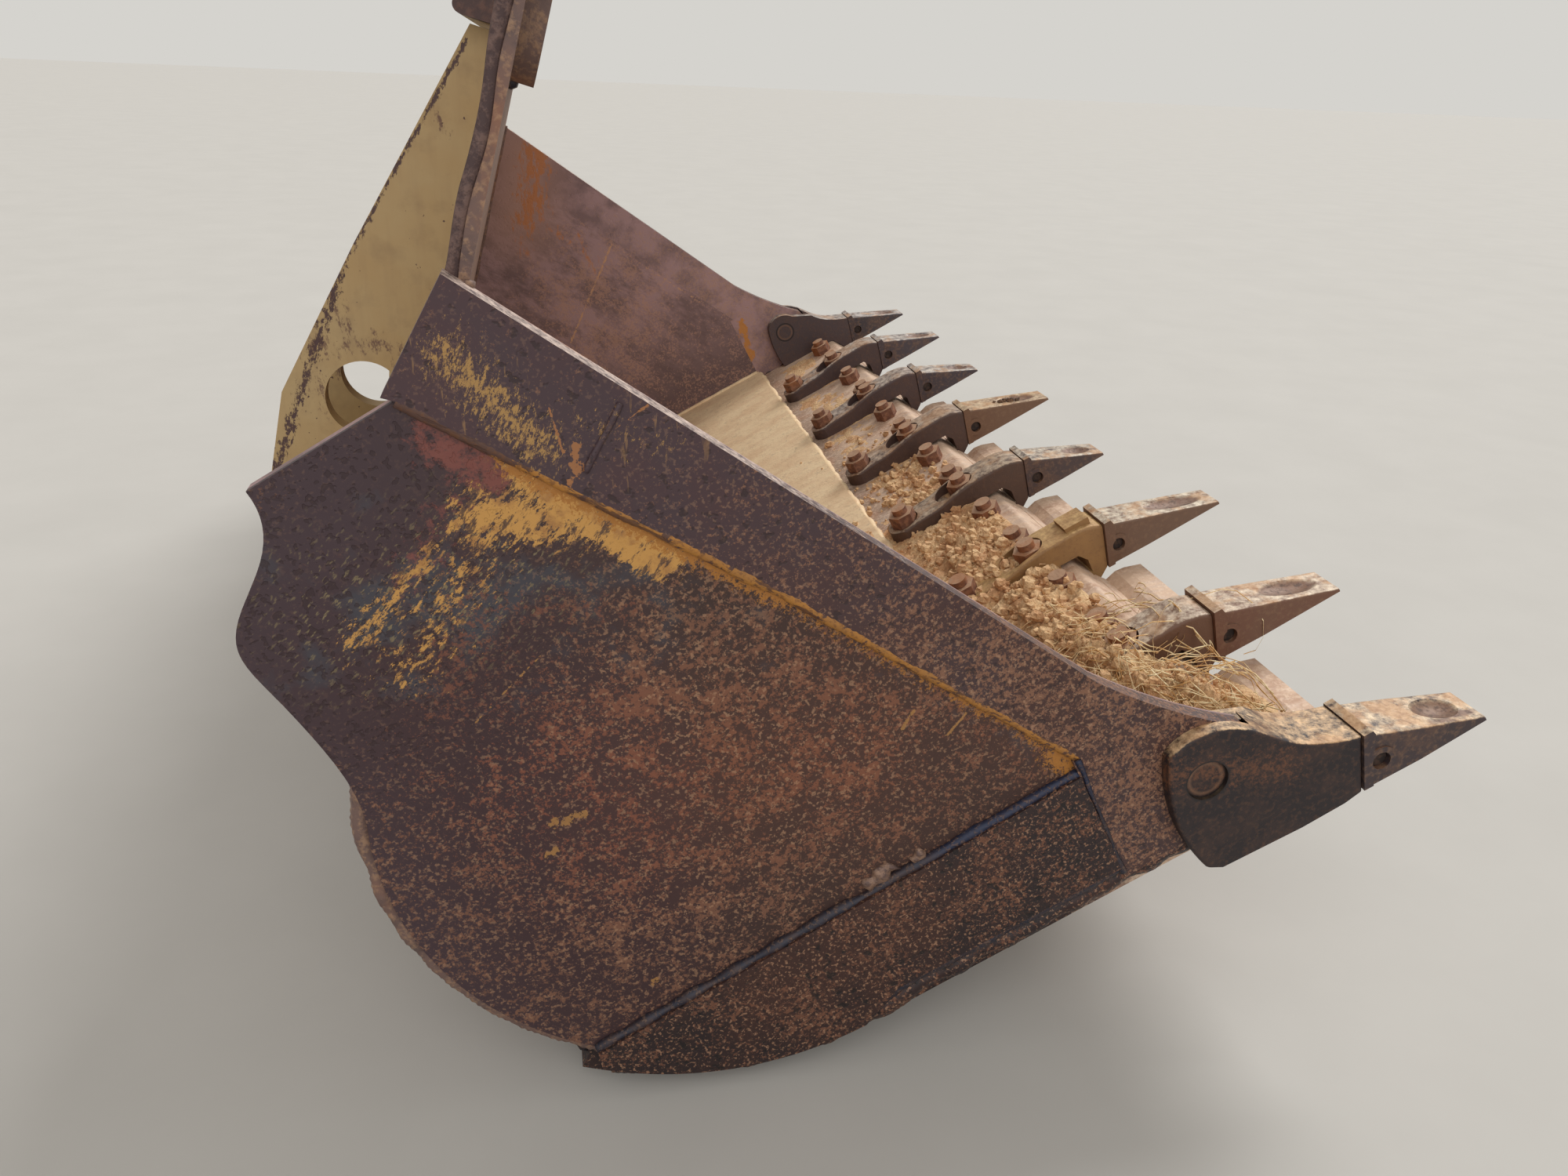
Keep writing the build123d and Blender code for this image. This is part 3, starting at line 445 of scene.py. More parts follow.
rust_tone = layered(tree, "#77523f", [
    (bloom, "#804e37"), (painted_sheen, "#6f6152", 0.6), (red, "#804a37")])
paint_tone = layered(tree, "#bb8b49", [(patches(tree, here, 22, 0.5, 0.62, shift=31), "#a1733f")])
outer = layered(tree, "#3d2c32", [
    (node(tree, "ShaderNodeMapRange", {0: slope, 1: -0.35, 2: 0.0}), "#38241f"),
    (stroke(tree, here, (-0.15, 0.24), (-0.19, -0.08), 0.06, 0.20), "#372023", 0.75),
    (painted_sheen, "#3b3d45", 0.75), (bloom, "#633a2b", 0.3), (rust, rust_tone, 0.85),
    (speck, "#9f795d"), (pit, "#2b171a", 0.6), (fleck, "#764734", 0.7),
    (primer, "#874a3f", 0.65), (smear, "#77684c"), (paint, paint_tone),
    (times(tree, paint, lace), "#3b2a2b", 0.85), (stripe, "#9f692a"), (mark, "#a07440", 0.8)])
v_of = node(tree, "ShaderNodeSeparateXYZ", {0: here}, out="Z")
low = node(tree, "ShaderNodeMapRange", {0: v_of, 1: 0.0, 2: -0.30})
smoke = patches(tree, here, 60, 0.42, 0.62, roughness=0.75, turn=-60, stretch=2)
scored = flecks(tree, here, [
    ((0.149, 0.174), (-0.089, -0.006), 0.001, 0.006, 0.9),
    ((0.149, 0.174), (0.302, -0.103), 0.0, 0.007, 0.55)], 9, 0.4, roughness=0.7)
# Inside, the plate is painted darker towards the bottom, as shade near the floor's corner.
inner = layered(tree, "#a38484", [
    (smoke, "#6c5655", 0.8), (low, "#5e4a4a", 0.9),
    (stroke(tree, here, *PALE_CORNER), "#ae897b"), (rust_runs(tree, here), "#b9794e"),
    (scored, "#c39570"), (rust, "#b9907a", 0.55)])
colour = layered(tree, outer, [(inside, inner)])
finish_shader(tree, shader, colour, 0.1, 0.58, rust, 0.75)
roughen(tree, shader, [(rust, 0.3), (pit, -0.6)])

# Hot-rolled bar: like the plate, with yellow paint scraped off in flakes near its top,
# fine scratches, and a front face that soil has rubbed pale and smooth, painted paler
# still with a highlight that fades down the bar.
bar_steel, tree, shader, here = start_material("rusty side bar steel")
v_of = node(tree, "ShaderNodeSeparateXYZ", {0: here}, out="Z")
inside = node(tree, "ShaderNodeMapRange", {0: reach_out(tree, here), 1: 1.176, 2: 1.174})
lower = node(tree, "ShaderNodeMapRange", {0: v_of, 1: 0.42, 2: -0.02, 3: 0.16, 4: 0.62})
crowd = node(tree, "ShaderNodeMapRange", {0: cloud(tree, here, 40, roughness=0.7, shift=21),
                                          1: 0.34, 2: 0.66, 3: 0.6, 4: 1.3})
rust = flaked(tree, node(tree, "ShaderNodeMath", {0: lower, 1: crowd}, operation="MULTIPLY"),
              cloud(tree, here, 6, detail=3, roughness=0.8, shift=22), 0.3)
pit = patches(tree, here, 11, 0.61, 0.67, detail=2, shift=23)
flake = flecks(tree, here, [
    ((0.010, 0.53), (0.035, 0.425), 0.0, 0.055, 0.62),
    ((0.03, 0.46), (0.13, 0.37), 0.0, 0.06, 0.36)],
    5, detail=6, roughness=0.85, turn=40, stretch=2.4, shift=24)
marks = flecks(tree, here, [
    ((0.046, 0.384), (0.062, 0.408), 0.0, 0.012, 0.62),
    ((0.05, 0.41), (0.06, 0.45), 0.0, 0.0025, 0.8),
    ((0.10, 0.405), (0.135, 0.41), 0.0, 0.002, 0.7)], 7, shift=26)
fine_scratch = times(tree, patches(tree, here, 8, 0.64, 0.68, turn=62, stretch=9, shift=25),
                     node(tree, "ShaderNodeMapRange", {0: v_of, 1: 0.2, 2: 0.45}))
# The front face is painted paler as a highlight as well as rubbed, strongest high up.
high = node(tree, "ShaderNodeMapRange", {0: v_of, 1: 0.05, 2: 0.35, 3: 0.10, 4: 1.0})
front = facing(tree, 1.0847, 0.5, 0.85)
polish_and_highlight = flaked(tree, times(tree, high, front),
                  cloud(tree, here, 9, roughness=0.7, shift=27), 0.8)
speck = times(tree, patches(tree, here, 4.5, 0.57, 0.65, detail=2, shift=29), lower)
outer = layered(tree, "#452f33", [
    (node(tree, "ShaderNodeMapRange", {0: v_of, 1: 0.35, 2: 0.0}), "#432a25"),
    (patches(tree, here, 110, 0.45, 0.6, shift=20), "#3a3139", 0.35),
    (rust, "#87604a", 0.8), (speck, "#a07c62"), (pit, "#2a1a1c", 0.7),
    (flake, "#a27d49"), (fine_scratch, "#93704a", 0.6), (marks, "#94633d")])
yellow = flecks(tree, here, [
    ((0.374, -0.20), (0.348, -0.30), 0.002, 0.022, 0.95),
    ((0.345, -0.23), (0.325, -0.30), 0.0, 0.010, 0.8)],
    12, roughness=0.75, turn=80, stretch=2, shift=28)
inner = layered(tree, "#a38484", [
    (patches(tree, here, 70, 0.42, 0.6), "#6e5858", 0.7),
    (stroke(tree, here, *PALE_CORNER), "#ae897b"), (rust_runs(tree, here), "#b9794e"),
    (rust, "#b48e72", 0.4), (yellow, "#b87c3f")])
colour = layered(tree, outer, [(inside, inner), (polish_and_highlight, "#c9b3a6")])
finish_shader(tree, shader, colour, 0.12, 0.56, rust, 0.72)
roughen(tree, shader, [(rust, 0.25), (pit, -0.5)])

# Paint over a weld keeps its yellow in the ripples and cracks to rust on their crests.
painted_weld, tree, shader, here = start_material("painted weld")
height = node(tree, "ShaderNodeSeparateXYZ", {0: here}, out="Z")
bare = node(tree, "ShaderNodeMapRange", {0: height, 1: 0.40, 2: 0.455, 3: 0.28, 4: 1.1})
speck = patches(tree, here, 5, 0.5, 0.6, shift=6)
crack = patches(tree, here, 9, 0.56, 0.6, turn=-58, stretch=5, shift=2)
colour = layered(tree, "#a5702f", [
    (patches(tree, here, 30, 0.45, 0.6), "#9a6a33"),
    (flaked(tree, bare, cloud(tree, here, 12, shift=3)), "#54392f"),
    (speck, "#684225", 0.6), (crack, "#4a2f26", 0.8)])
finish_shader(tree, shader, colour, 0.05, 0.55)
roughen(tree, shader, [(crack, -0.5)])

dress(["side_plate_right", "side_plate_left"], side_steel, 2)
dress(["side_bar_right", "side_bar_left"], bar_steel, 2.5)

# A tear in the weld's foot, where the plate was struck: bare and tan.
torn_steel, tree, shader, here = start_material("torn bare steel")
lump = patches(tree, here, 10, 0.45, 0.6)
colour = layered(tree, "#8a6d5b", [(lump, "#5c4843")])
finish_shader(tree, shader, colour, 0.3, 0.5)
roughen(tree, shader, [(lump, 0.8)])

bottom = [round_heel(0.377, a) for a in range(222, 270, 4)] + [(0.02, -0.374), (0.43, -0.372)]
for hand, side in ((-1, "right"), (1, "left")):
    for name, out, line, slot, material, radius, lumpy, ripple in (
            ("bar_weld", SIDE_OUTER, BAR_SEAM, "side_bar", painted_weld, 0.0085, 0.15, 0.03),
            ("upright_weld", BAR_OUTER, [(0.350, -0.178), (0.345, -0.36)],
             "side_bar", weld_steel, 0.0038, 0.7, 0.06),
            ("bar_joint", BAR_OUTER, [(0.115, 0.423), (0.057, 0.384)],
             "side_bar", bar_steel, 0.003, 0.5, 0.06),
            ("wear_plate_weld", SIDE_OUTER + 0.002, [(-0.2837, -0.221), (0.345, -0.199)],
             "side_plate", weld_steel, 0.0068, 0.4, 0.03),
            ("bottom_weld", 1.186, bottom, "edge_plate", ground_plate, 0.014, 0.3, 0.02),
            ("wear_plate_foot", 1.196, [(-0.01, -0.377), (0.045, -0.354), (0.345, -0.354)],
             "edge_plate", weld_steel, 0.007, 0.35, 0.06)):
        bead(f"{name}_{side}", [spot(*p, hand * out) for p in line], material, radius,
             lumpy, ripple)
for number, (start, end, size) in enumerate((
        ((0.080, -0.207), (0.112, -0.186), 0.011), ((0.136, -0.199), (0.152, -0.192), 0.007)),
        start=1):
    bead(f"weld_tear_{number}", [spot(*start, -SIDE_OUTER), spot(*end, -SIDE_OUTER)],
         torn_steel, radius=size, lumpy=1.1, ripple=0, flatten=0.6, swells=90,
         seed=number)

# The ears that carry the lift-arm and tilt pins, and the rail over them: 25 mm plate and a
# bar, welded to the back of the wall and painted yellow.
EAR_TOP, EAR_REAR, EAR_PIN_REAR = up_wall(0.628, 0.406), (-0.109, 0.599), (-0.320, 0.432)

# Old brushed enamel: a chalky dull yellow, rubbed through to dark rust along the edges,
# with rust bleeding down.
faded_paint, tree, shader, here = start_material("faded yellow paint")
fade = patches(tree, here, 130, 0.4, 0.62)
brushed = patches(tree, here, 14, 0.45, 0.7, detail=3, turn=60, stretch=7, shift=1)
dirt = patches(tree, here, 30, 0.5, 0.72, shift=2)
chip = patches(tree, here, 9, 0.69, 0.71, detail=3, shift=4)
edge_chip = flecks(tree, here, [
    (EAR_TOP, EAR_REAR, 0.0, 0.006, 0.8), (EAR_REAR, EAR_PIN_REAR, 0.0, 0.013, 0.8)],
    4.5, 0.2, roughness=0.8, turn=50, stretch=2, shift=8)
bleed = flecks(tree, here, [
    ((-0.185, 0.545), (-0.105, 0.495), 0.0, 0.035, 0.62),
    ((-0.135, 0.588), (-0.15, 0.52), 0.0, 0.02, 0.55),
    ((-0.215, 0.50), (-0.20, 0.46), 0.0, 0.03, 0.6),
    ((0.07, 0.665), (0.075, 0.69), 0.0, 0.012, 0.7)],
    10, 0.3, roughness=0.8, turn=70, stretch=2.4, shift=9)
colour = layered(tree, "#b0966a", [
    (fade, "#a88858", 0.6), (brushed, "#987b56", 0.25), (dirt, "#7f6548", 0.3),
    (bleed, "#62443c", 0.85), (chip, "#54382f"), (edge_chip, "#4c3431")])
finish_shader(tree, shader, colour, 0.0, 0.55, bleed, 0.7)
roughen(tree, shader, [(edge_chip, -0.25), (brushed, 0.05)])

# Where the paint is gone from a plate's edge, dark rust shows, flaking to tan.
rubbed_edge, tree, shader, here = start_material("rubbed rusty edge")
flake = patches(tree, here, 14, 0.5, 0.55)
colour = layered(tree, "#4d3632", [(flake, "#8a6a4a")])
finish_shader(tree, shader, colour, 0.2, 0.6)
ears = [f"lift_plate_{s}_{p}" for s in ("right", "left") for p in ("outer", "inner")]
dress(ears + ["tilt_plate_right", "tilt_plate_left"], faded_paint, 1.8, rubbed_edge)

# The rail's enamel has mostly gone: rust at its ends, and in patches along it.
rusty_paint, tree, shader, here = start_material("rusty rail paint")
spread = node(tree, "ShaderNodeMapRange", {0: reach_out(tree, here), 1: 0.70, 2: 0.79,
                                           3: 0.42, 4: 1.2})
bare = flaked(tree, spread, cloud(tree, here, 60, detail=6, roughness=0.7, shift=5), 0.12)
dirt = patches(tree, here, 40, 0.45, 0.65)
scale = patches(tree, here, 9, 0.45, 0.62, shift=8)
rust_tone = layered(tree, "#4b3633", [(scale, "#6d4c3f", 0.6)])
colour = layered(tree, "#a88d5f", [(dirt, "#8b6f4b", 0.4), (bare, rust_tone)])
finish_shader(tree, shader, colour, 0.05, 0.58)
roughen(tree, shader, [(bare, -0.25), (scale, 0.15)])
dress(["wall_rail"], rusty_paint, 3, rubbed_edge)

EAR_WELDS = [  # name, the ears' faces out from the middle, 40 mm steps up the wall, foot
    ("ear_weld", (0.7825, 0.7575, 0.6525, 0.6275), 16, 208),
    ("tilt_ear_weld", (0.055, 0.080), 12, 159)]
for hand, side in ((-1, "right"), (1, "left")):
    for name, faces, climb, foot_angle in EAR_WELDS:
        line = [up_wall(0.04 * k, SHELL_OUTER) for k in range(climb, 0, -1)]
        line += [round_heel(SHELL_OUTER, a) for a in range(136, foot_angle, 6)]
        for number, face in enumerate(faces, start=1):
            bead(f"{name}_{side}_{number}", [spot(*p, hand * face) for p in line],
                 faded_paint, radius=0.008)
for name, place, end, slot, material, radius in (
        ("rail_weld", up_wall(0.651, SHELL_OUTER), 0.80, "ear_paint", faded_paint, 0.008),
        ("heel_plate_weld", round_heel(0.378, 217.2), 1.17, "edge_plate", weld_steel, 0.012)):
    bead(name, [spot(*place, -end), spot(*place, end)], material, radius)

# The adapters: heavy steel castings that clasp the edge and are bolted through it. At the
# corners they clasp the side too, and a round plug fills a hole in them there.
TOOTH_PITCH = 2.4 / 7


def by_row(tree, here, values):
    """A colour or number for each tooth, from right to left, by its place in the bucket."""
    y_of = node(tree, "ShaderNodeSeparateXYZ", {0: here}, out="Y")
    place = node(tree, "ShaderNodeMapRange", {0: y_of, 1: -4 * TOOTH_PITCH, 2: 4 * TOOTH_PITCH})
    shown = node(tree, "ShaderNodeValToRGB", {0: place})
    ramp = shown.node.color_ramp
    ramp.interpolation = "CONSTANT"
    ramp.elements.remove(ramp.elements[1])
    for number, value in enumerate(values):
        stop = ramp.elements[0] if number == 0 else ramp.elements.new(number / len(values))
        stop.color = tone(value) if isinstance(value, str) else (value, value, value, 1)
    return shown


def ring(tree, here, centre, inner, outer):
    """Mask of a ring round a (u, v) point; each edge is a pair of radii that it fades over."""
    hole = node(tree, "ShaderNodeMath", {0: 1.0, 1: stroke(tree, here, centre, centre, *inner)},
                operation="SUBTRACT")
    return times(tree, stroke(tree, here, centre, centre, *outer), hole)


# Cast steel: a dark, even skin with light rust in blotches, rubbed pale on top by the soil,
# and painted paler still on top as sunlight, with its sides darker as painted shade.
# Its grain is really about 1 mm, and is drawn 7 mm so that it shows. Each casting has its
# own age and lies in its own light, so the colours of tops and sides run from the
# right-hand corner to the left.
ADAPTER_SHADED_SIDES = ["#20171a", "#6a4c3b", "#977348", "#533e34",
                 "#503c35", "#4c3b39", "#4a3a39", "#4a3d3e"]
ADAPTER_LIT_WORN_TOPS = ["#d8b58c", "#d5c3ad", "#cba873", "#bda890",
                "#c0aa94", "#c2b2a2", "#c4b5a6", "#bdb0a4"]
cast_steel, tree, shader, here = start_material("dark cast steel")
tops = facing(tree, 0.15, 0.5, 0.88)
cloudy = patches(tree, here, 42, 0.45, 0.6)
grain = patches(tree, here, 7, 0.5, 0.66, detail=3, shift=2)
PLUG = (0.4717, -0.2794)  # each corner's plug stands in a dark groove, with a pale rim
groove = ring(tree, here, PLUG, (0.0225, 0.0248), (0.0262, 0.0285))
# The pale rim round the plug is a painted highlight.
rim_highlight = ring(tree, here, PLUG, (0.0165, 0.0195), (0.0205, 0.0235))
y_of = node(tree, "ShaderNodeSeparateXYZ", {0: here}, out="Y")
shoulder = times(tree, strokes(tree, here, [((0.43, -0.245), (0.56, -0.315), 0.0, 0.07, 0.7)]),
                 node(tree, "ShaderNodeMapRange", {0: y_of, 1: -1.13, 2: -1.16}))
blotch = flaked(tree, shoulder, cloud(tree, here, 7, detail=5, roughness=0.8, shift=9), 0.3)
# The tops are painted in their sunlit colours over their rubbed wear, and the sides in their
# shaded ones.
colour = layered(tree, by_row(tree, here, ADAPTER_SHADED_SIDES), [
    (cloudy, "#5d4032", 0.18), (grain, "#74543f", 0.25),
    (flaked(tree, times(tree, tops, 1.15), cloud(tree, here, 14, roughness=0.75, shift=5), 0.9),
     by_row(tree, here, ADAPTER_LIT_WORN_TOPS)),
    (times(tree, tops, cloudy), "#ad7d4e", 0.45), (blotch, "#74492f", 0.6),
    (rim_highlight, "#7b5b46", 0.55), (groove, "#171112", 0.9)])
finish_shader(tree, shader, colour, 0.15, 0.56, grain, 0.68)
roughen(tree, shader, [(grain, 0.2), (cloudy, 0.2)])
dress([f"adapter_{i}" for i in range(1, 9)] + ["corner_plug_right", "corner_plug_left"],
      cast_steel, 2.5)

# The tips: eight cast steel points, each pushed over an adapter's nose and pinned through
# its side. They have worn to different lengths, and soil scoops out a dish in their tops.
TIP_LENGTHS = [0.167, 0.203, 0.216, 0.168, 0.203, 0.161, 0.177, 0.172]
TIP_TOP_REAR, TIP_DROP, TIP_RAKE = (0.657, -0.333), 0.071, 0.017

# Cast steel worn by soil: bright and pale on top, with sunlight painted in there too; rusty
# in the dish, painted darker there as shade; brown on the sides, with painted shade.
TIP_SHADED_SIDES = ["#3b2f31", "#6c4938", "#6c5140", "#4a3a38",
             "#6f503b", "#423639", "#453a3e", "#3e3437"]
TIP_LIT_WORN_TOPS = ["#dcc3a2", "#dccab2", "#dccfb9", "#cfc1ad",
            "#d0b794", "#cbc0b3", "#c9beb3", "#c4bab2"]
tip_steel, tree, shader, here = start_material("worn tip steel")
tops = facing(tree, 0.38, 0.55, 0.9)
falls = [TIP_DROP / (length - TIP_RAKE) for length in TIP_LENGTHS]
fall = by_row(tree, here, falls)
placed = node(tree, "ShaderNodeSeparateXYZ", {0: here}).node
past = node(tree, "ShaderNodeMath", {0: placed.outputs["X"], 1: TIP_TOP_REAR[0]},
            operation="SUBTRACT")
under = node(tree, "ShaderNodeMath", {0: past, 1: fall, 2: placed.outputs["Z"]},
             operation="MULTIPLY_ADD")
sunk = node(tree, "ShaderNodeMapRange", {0: under, 1: TIP_TOP_REAR[1] - 0.0006,
                                         2: TIP_TOP_REAR[1] - 0.003})
across = node(tree, "ShaderNodeMath", {0: placed.outputs["Y"], 1: TOOTH_PITCH, 2: 0.0},
              operation="WRAP")
off = node(tree, "ShaderNodeMath", {0: across, 1: TOOTH_PITCH / 2}, operation="SUBTRACT")
off = node(tree, "ShaderNodeMath", {0: off}, operation="ABSOLUTE")
middle = node(tree, "ShaderNodeMapRange", {0: off, 1: 0.018, 2: 0.005})
behind = node(tree, "ShaderNodeMapRange", {0: past, 1: 0.050, 2: 0.10})
before = node(tree, "ShaderNodeMapRange", {0: past, 1: 0.165, 2: 0.13})
scoop = flaked(tree, times(tree, tops, middle, behind, before),
               cloud(tree, here, 14, turn=-20, stretch=4, shift=7), 0.5)
dish_rust_and_shade = node(tree, "ShaderNodeMath", {0: times(tree, tops, sunk), 1: scoop}, operation="MAXIMUM")
cloudy = patches(tree, here, 34, 0.47, 0.6)
grain = patches(tree, here, 7, 0.5, 0.66, detail=3, shift=2)
# Tops are painted in sunlit colours over their wear, sides in shaded ones, and the dish darker as
# shade as well as rust.
colour = layered(tree, by_row(tree, here, TIP_SHADED_SIDES), [
    (cloudy, "#6b4d3b", 0.4), (grain, "#86674f", 0.4),
    (flaked(tree, times(tree, tops, 1.2), cloud(tree, here, 14, roughness=0.75, shift=5), 0.9),
     by_row(tree, here, TIP_LIT_WORN_TOPS)),
    (times(tree, tops, cloudy), "#b58453", 0.55), (dish_rust_and_shade, "#6d4a37", 0.85),
    (times(tree, dish_rust_and_shade, grain), "#3c2d2a", 0.6)])
finish_shader(tree, shader, colour, 0.15, 0.55, grain, 0.65)
roughen(tree, shader, [(grain, 0.2), (cloudy, 0.25)])
dress([f"tooth_tip_{i}" for i in range(1, 9)], tip_steel, 1.5)

# Turned pins, driven flush into the tips: dark steel under grime.
pin_steel, tree, shader, here = start_material("dark pin steel")
grime = patches(tree, here, 8, 0.45, 0.6)
colour = layered(tree, "#2e2523", [(grime, "#4a382f")])
finish_shader(tree, shader, colour, 0.5, 0.6)
dress(["key_pins"], pin_steel, 1)

# The plough bolts that hold adapters and segments: their heads are sunk in the parts below,
# and the nuts and stud ends stand up inside the bucket. Forged steel in orange-brown rust,
# scaly and matt, with pale dust on top.
bolt_steel, tree, shader, here = start_material("rusty bolt steel")
tops = facing(tree, 0.0, 0.6, 0.95)
scale = patches(tree, here, 10, 0.42, 0.6)
bloom = patches(tree, here, 60, 0.52, 0.6)
colour = layered(tree, "#6a4434", [
    (scale, "#8c6047"), (tops, "#b59274", 0.75), (bloom, "#a5693c", 0.5)])
finish_shader(tree, shader, colour, 0.1, 0.7)
roughen(tree, shader, [(scale, 0.5)])
dress(["rear_bolts", "front_bolts", "segment_bolts"], bolt_steel, 1.5)

# Soil left in the bucket: sandy earth in a sheet along the floor and round the bolts, with
# loose clods on it. It gives the eye a matt, crumbly sand, redder where damp. Its grit is
# really under 2 mm, and is drawn 5 mm so that it shows.
sand_soil, tree, shader, here = start_material("sandy soil")
lump = patches(tree, here, 16, 0.35, 0.65)
grit = patches(tree, here, 5, 0.4, 0.65, detail=3, shift=2)
damp = patches(tree, here, 40, 0.45, 0.60, shift=5)
colour = layered(tree, "#e0b888", [
    (lump, "#f0d2a4", 0.5), (damp, "#c48b5e", 0.6), (grit, "#96694a", 0.4)])
finish_shader(tree, shader, colour, 0.0, 0.95)
roughen(tree, shader, [(lump, 2.5), (grit, 1.6)])

SOIL_STEP, SOIL_SINK = 0.008, 0.012  # side of the sheet's faces; its ends dip into the steel
POCKETS = [-1.2 + TOOTH_PITCH * k for k in range(1, 7)]  # soil fills them round the nuts
CORNER_RIGHT, CORNER_LEFT = -1.13, -0.905  # soil spills over the edge between these


def ground_height(u):
    """Level of the steel under the soil: floor plate, edge, its slope, and the segments."""
    table = [(0.345, -SHELL_INNER), (0.350, EDGE_TOP), (0.574, EDGE_TOP), (0.604, -0.408),
             (0.645, -0.418), (0.70, -0.44)]
    if u <= table[0][0]:
        return table[0][1]
    for (u0, v0), (u1, v1) in zip(table, table[1:]):
        if u <= u1:
            return v0 + (v1 - v0) * (u - u0) / (u1 - u0)
    return table[-1][1]


def hump(*spans):
    """1 at the crest of a heap and less away from it; a span is (place, crest, spread)."""
    return math.exp(-sum(((place - crest) / spread) ** 2 for place, crest, spread in spans))


def crumble(u, y, per_metre, layer, rough):
    """Unevenness of a heap, so many bumps in a metre."""
    return noise.fractal(Vector((u * per_metre, y * per_metre, layer)), rough, 2.0, 4)


def heap_depth(u, y):
    """Depth of soil on the floor and the edge, below zero where there is none."""
    base, lumps = 0.6 * crumble(u, y, 9, 1, 1.0), 0.55 * crumble(u, y, 42, 5, 0.8)
    right_half = 1.0 / (1.0 + math.exp((y + 0.22) * 9))  # 1 on the right, 0 on the left
    heap = 0.032 * right_half * hump((u, 0.47, 0.14)) * (1 + base + lumps)
    corner = 0.024 * hump((u, 0.50, 0.09), (y, -0.98, 0.16)) * (1 + lumps)
    thin = 0.007 * hump((u, 0.46, 0.09)) * (0.6 + base + lumps)
    packed = sum(0.024 * hump((u, 0.49, 0.045), (y, p, 0.030)) for p in POCKETS)
    return max(heap + corner, thin, packed * (1 + 0.6 * lumps)) - 0.004


def corner_depth(u, y):
    """Depth of the soil that spills over the edge between the corner and its neighbour."""
    spill = hump((u, 0.575, 0.075), (y, -1.035, 0.085))
    return 0.052 * spill * (1 + 0.5 * crumble(u, y, 42, 5, 0.8)) - 0.010


def soil_sheet(name, rear, front, right, left, depth):
    """A sheet of soil over a stretch of the floor, as high over the steel as depth says."""
    columns, rows = round((front - rear) / SOIL_STEP), round((left - right) / SOIL_STEP)
    verts, faces = [], []
    for i in range(columns + 1):
        for j in range(rows + 1):
            u, y = rear + (front - rear) * i / columns, right + (left - right) * j / rows
            border = SOIL_SINK if i in (0, columns) else 0
            verts.append(spot(u, ground_height(u) + depth(u, y) - border, y))
    for i in range(columns):
        for j in range(rows):
            a = i * (rows + 1) + j
            faces.append((a, a + rows + 1, a + rows + 2, a + 1))
    add_piece(name, verts, faces, sand_soil)


soil_sheet("soil", 0.10, 0.562, -1.168, 1.168, heap_depth)
soil_sheet("corner_soil", 0.50, 0.652, CORNER_RIGHT, CORNER_LEFT, corner_depth)

rng = random.Random(7)
CLODS, EDGE_CRUMBS, TIP_CRUMBS = 1700, 260, 16
CLOD_SIDES = 6  # corners round a clod
verts, faces = [], []


def heap_top(u, y, size):
    """The place of a crumb that is half sunk in the heap."""
    spill = corner_depth(u, y) if CORNER_RIGHT < y < CORNER_LEFT else 0
    return spot(u, ground_height(u) + max(heap_depth(u, y), spill, 0) + size * 0.35, y)


def clod(centre, size):
    """Adds one crumb of soil to the lists, as a rough ball."""
    start = len(verts)
    for a in range(1, 4):
        for b in range(CLOD_SIDES):
            t, p = math.pi * a / 4, 2 * math.pi * b / CLOD_SIDES
            way = Vector((math.sin(t) * math.cos(p), math.sin(t) * math.sin(p), math.cos(t)))
            verts.append(centre + way * size * (0.7 + 0.6 * rng.random()))
    for a in range(2):
        for b in range(CLOD_SIDES):
            c = (b + 1) % CLOD_SIDES
            faces.append((start + a * CLOD_SIDES + b, start + (a + 1) * CLOD_SIDES + b,
                          start + (a + 1) * CLOD_SIDES + c, start + a * CLOD_SIDES + c))
    faces.append(tuple(start + b for b in range(CLOD_SIDES)))
    faces.append(tuple(start + 2 * CLOD_SIDES + b for b in range(CLOD_SIDES - 1, -1, -1)))


for _ in range(CLODS):
    y, u = rng.triangular(-1.13, 0.45, -0.62), rng.gauss(0.475, 0.055)
    if 0.25 < u < 0.56:
        size = 0.0025 + 0.009 * rng.random() ** 3
        clod(heap_top(u, y, size), size)
for _ in range(EDGE_CRUMBS):
    u, y, size = rng.uniform(0.52, 0.63), rng.gauss(-1.02, 0.05), 0.002 + 0.004 * rng.random() ** 2
    clod(heap_top(u, y, size), size)
add_piece("clods", verts, faces, sand_soil, smooth=False)

# Damp soil is darker and browner than the rest; a few crumbs of it lie on the fifth tip.
damp_soil, tree, shader, here = start_material("damp soil")
colour = layered(tree, "#4f3c30", [(patches(tree, here, 8, 0.45, 0.6), "#7a5c45")])
finish_shader(tree, shader, colour, 0.0, 0.95)
verts, faces = [], []
for _ in range(TIP_CRUMBS):
    u, y = rng.uniform(0.735, 0.785), 0.5 * TOOTH_PITCH - 0.010 + rng.gauss(0, 0.006)
    size = rng.uniform(0.003, 0.006)
    clod(spot(u, TIP_TOP_REAR[1] - falls[4] * (u - TIP_TOP_REAR[0]) + 0.3 * size, y), size)
add_piece("tip_crumbs", verts, faces, damp_soil, smooth=False)

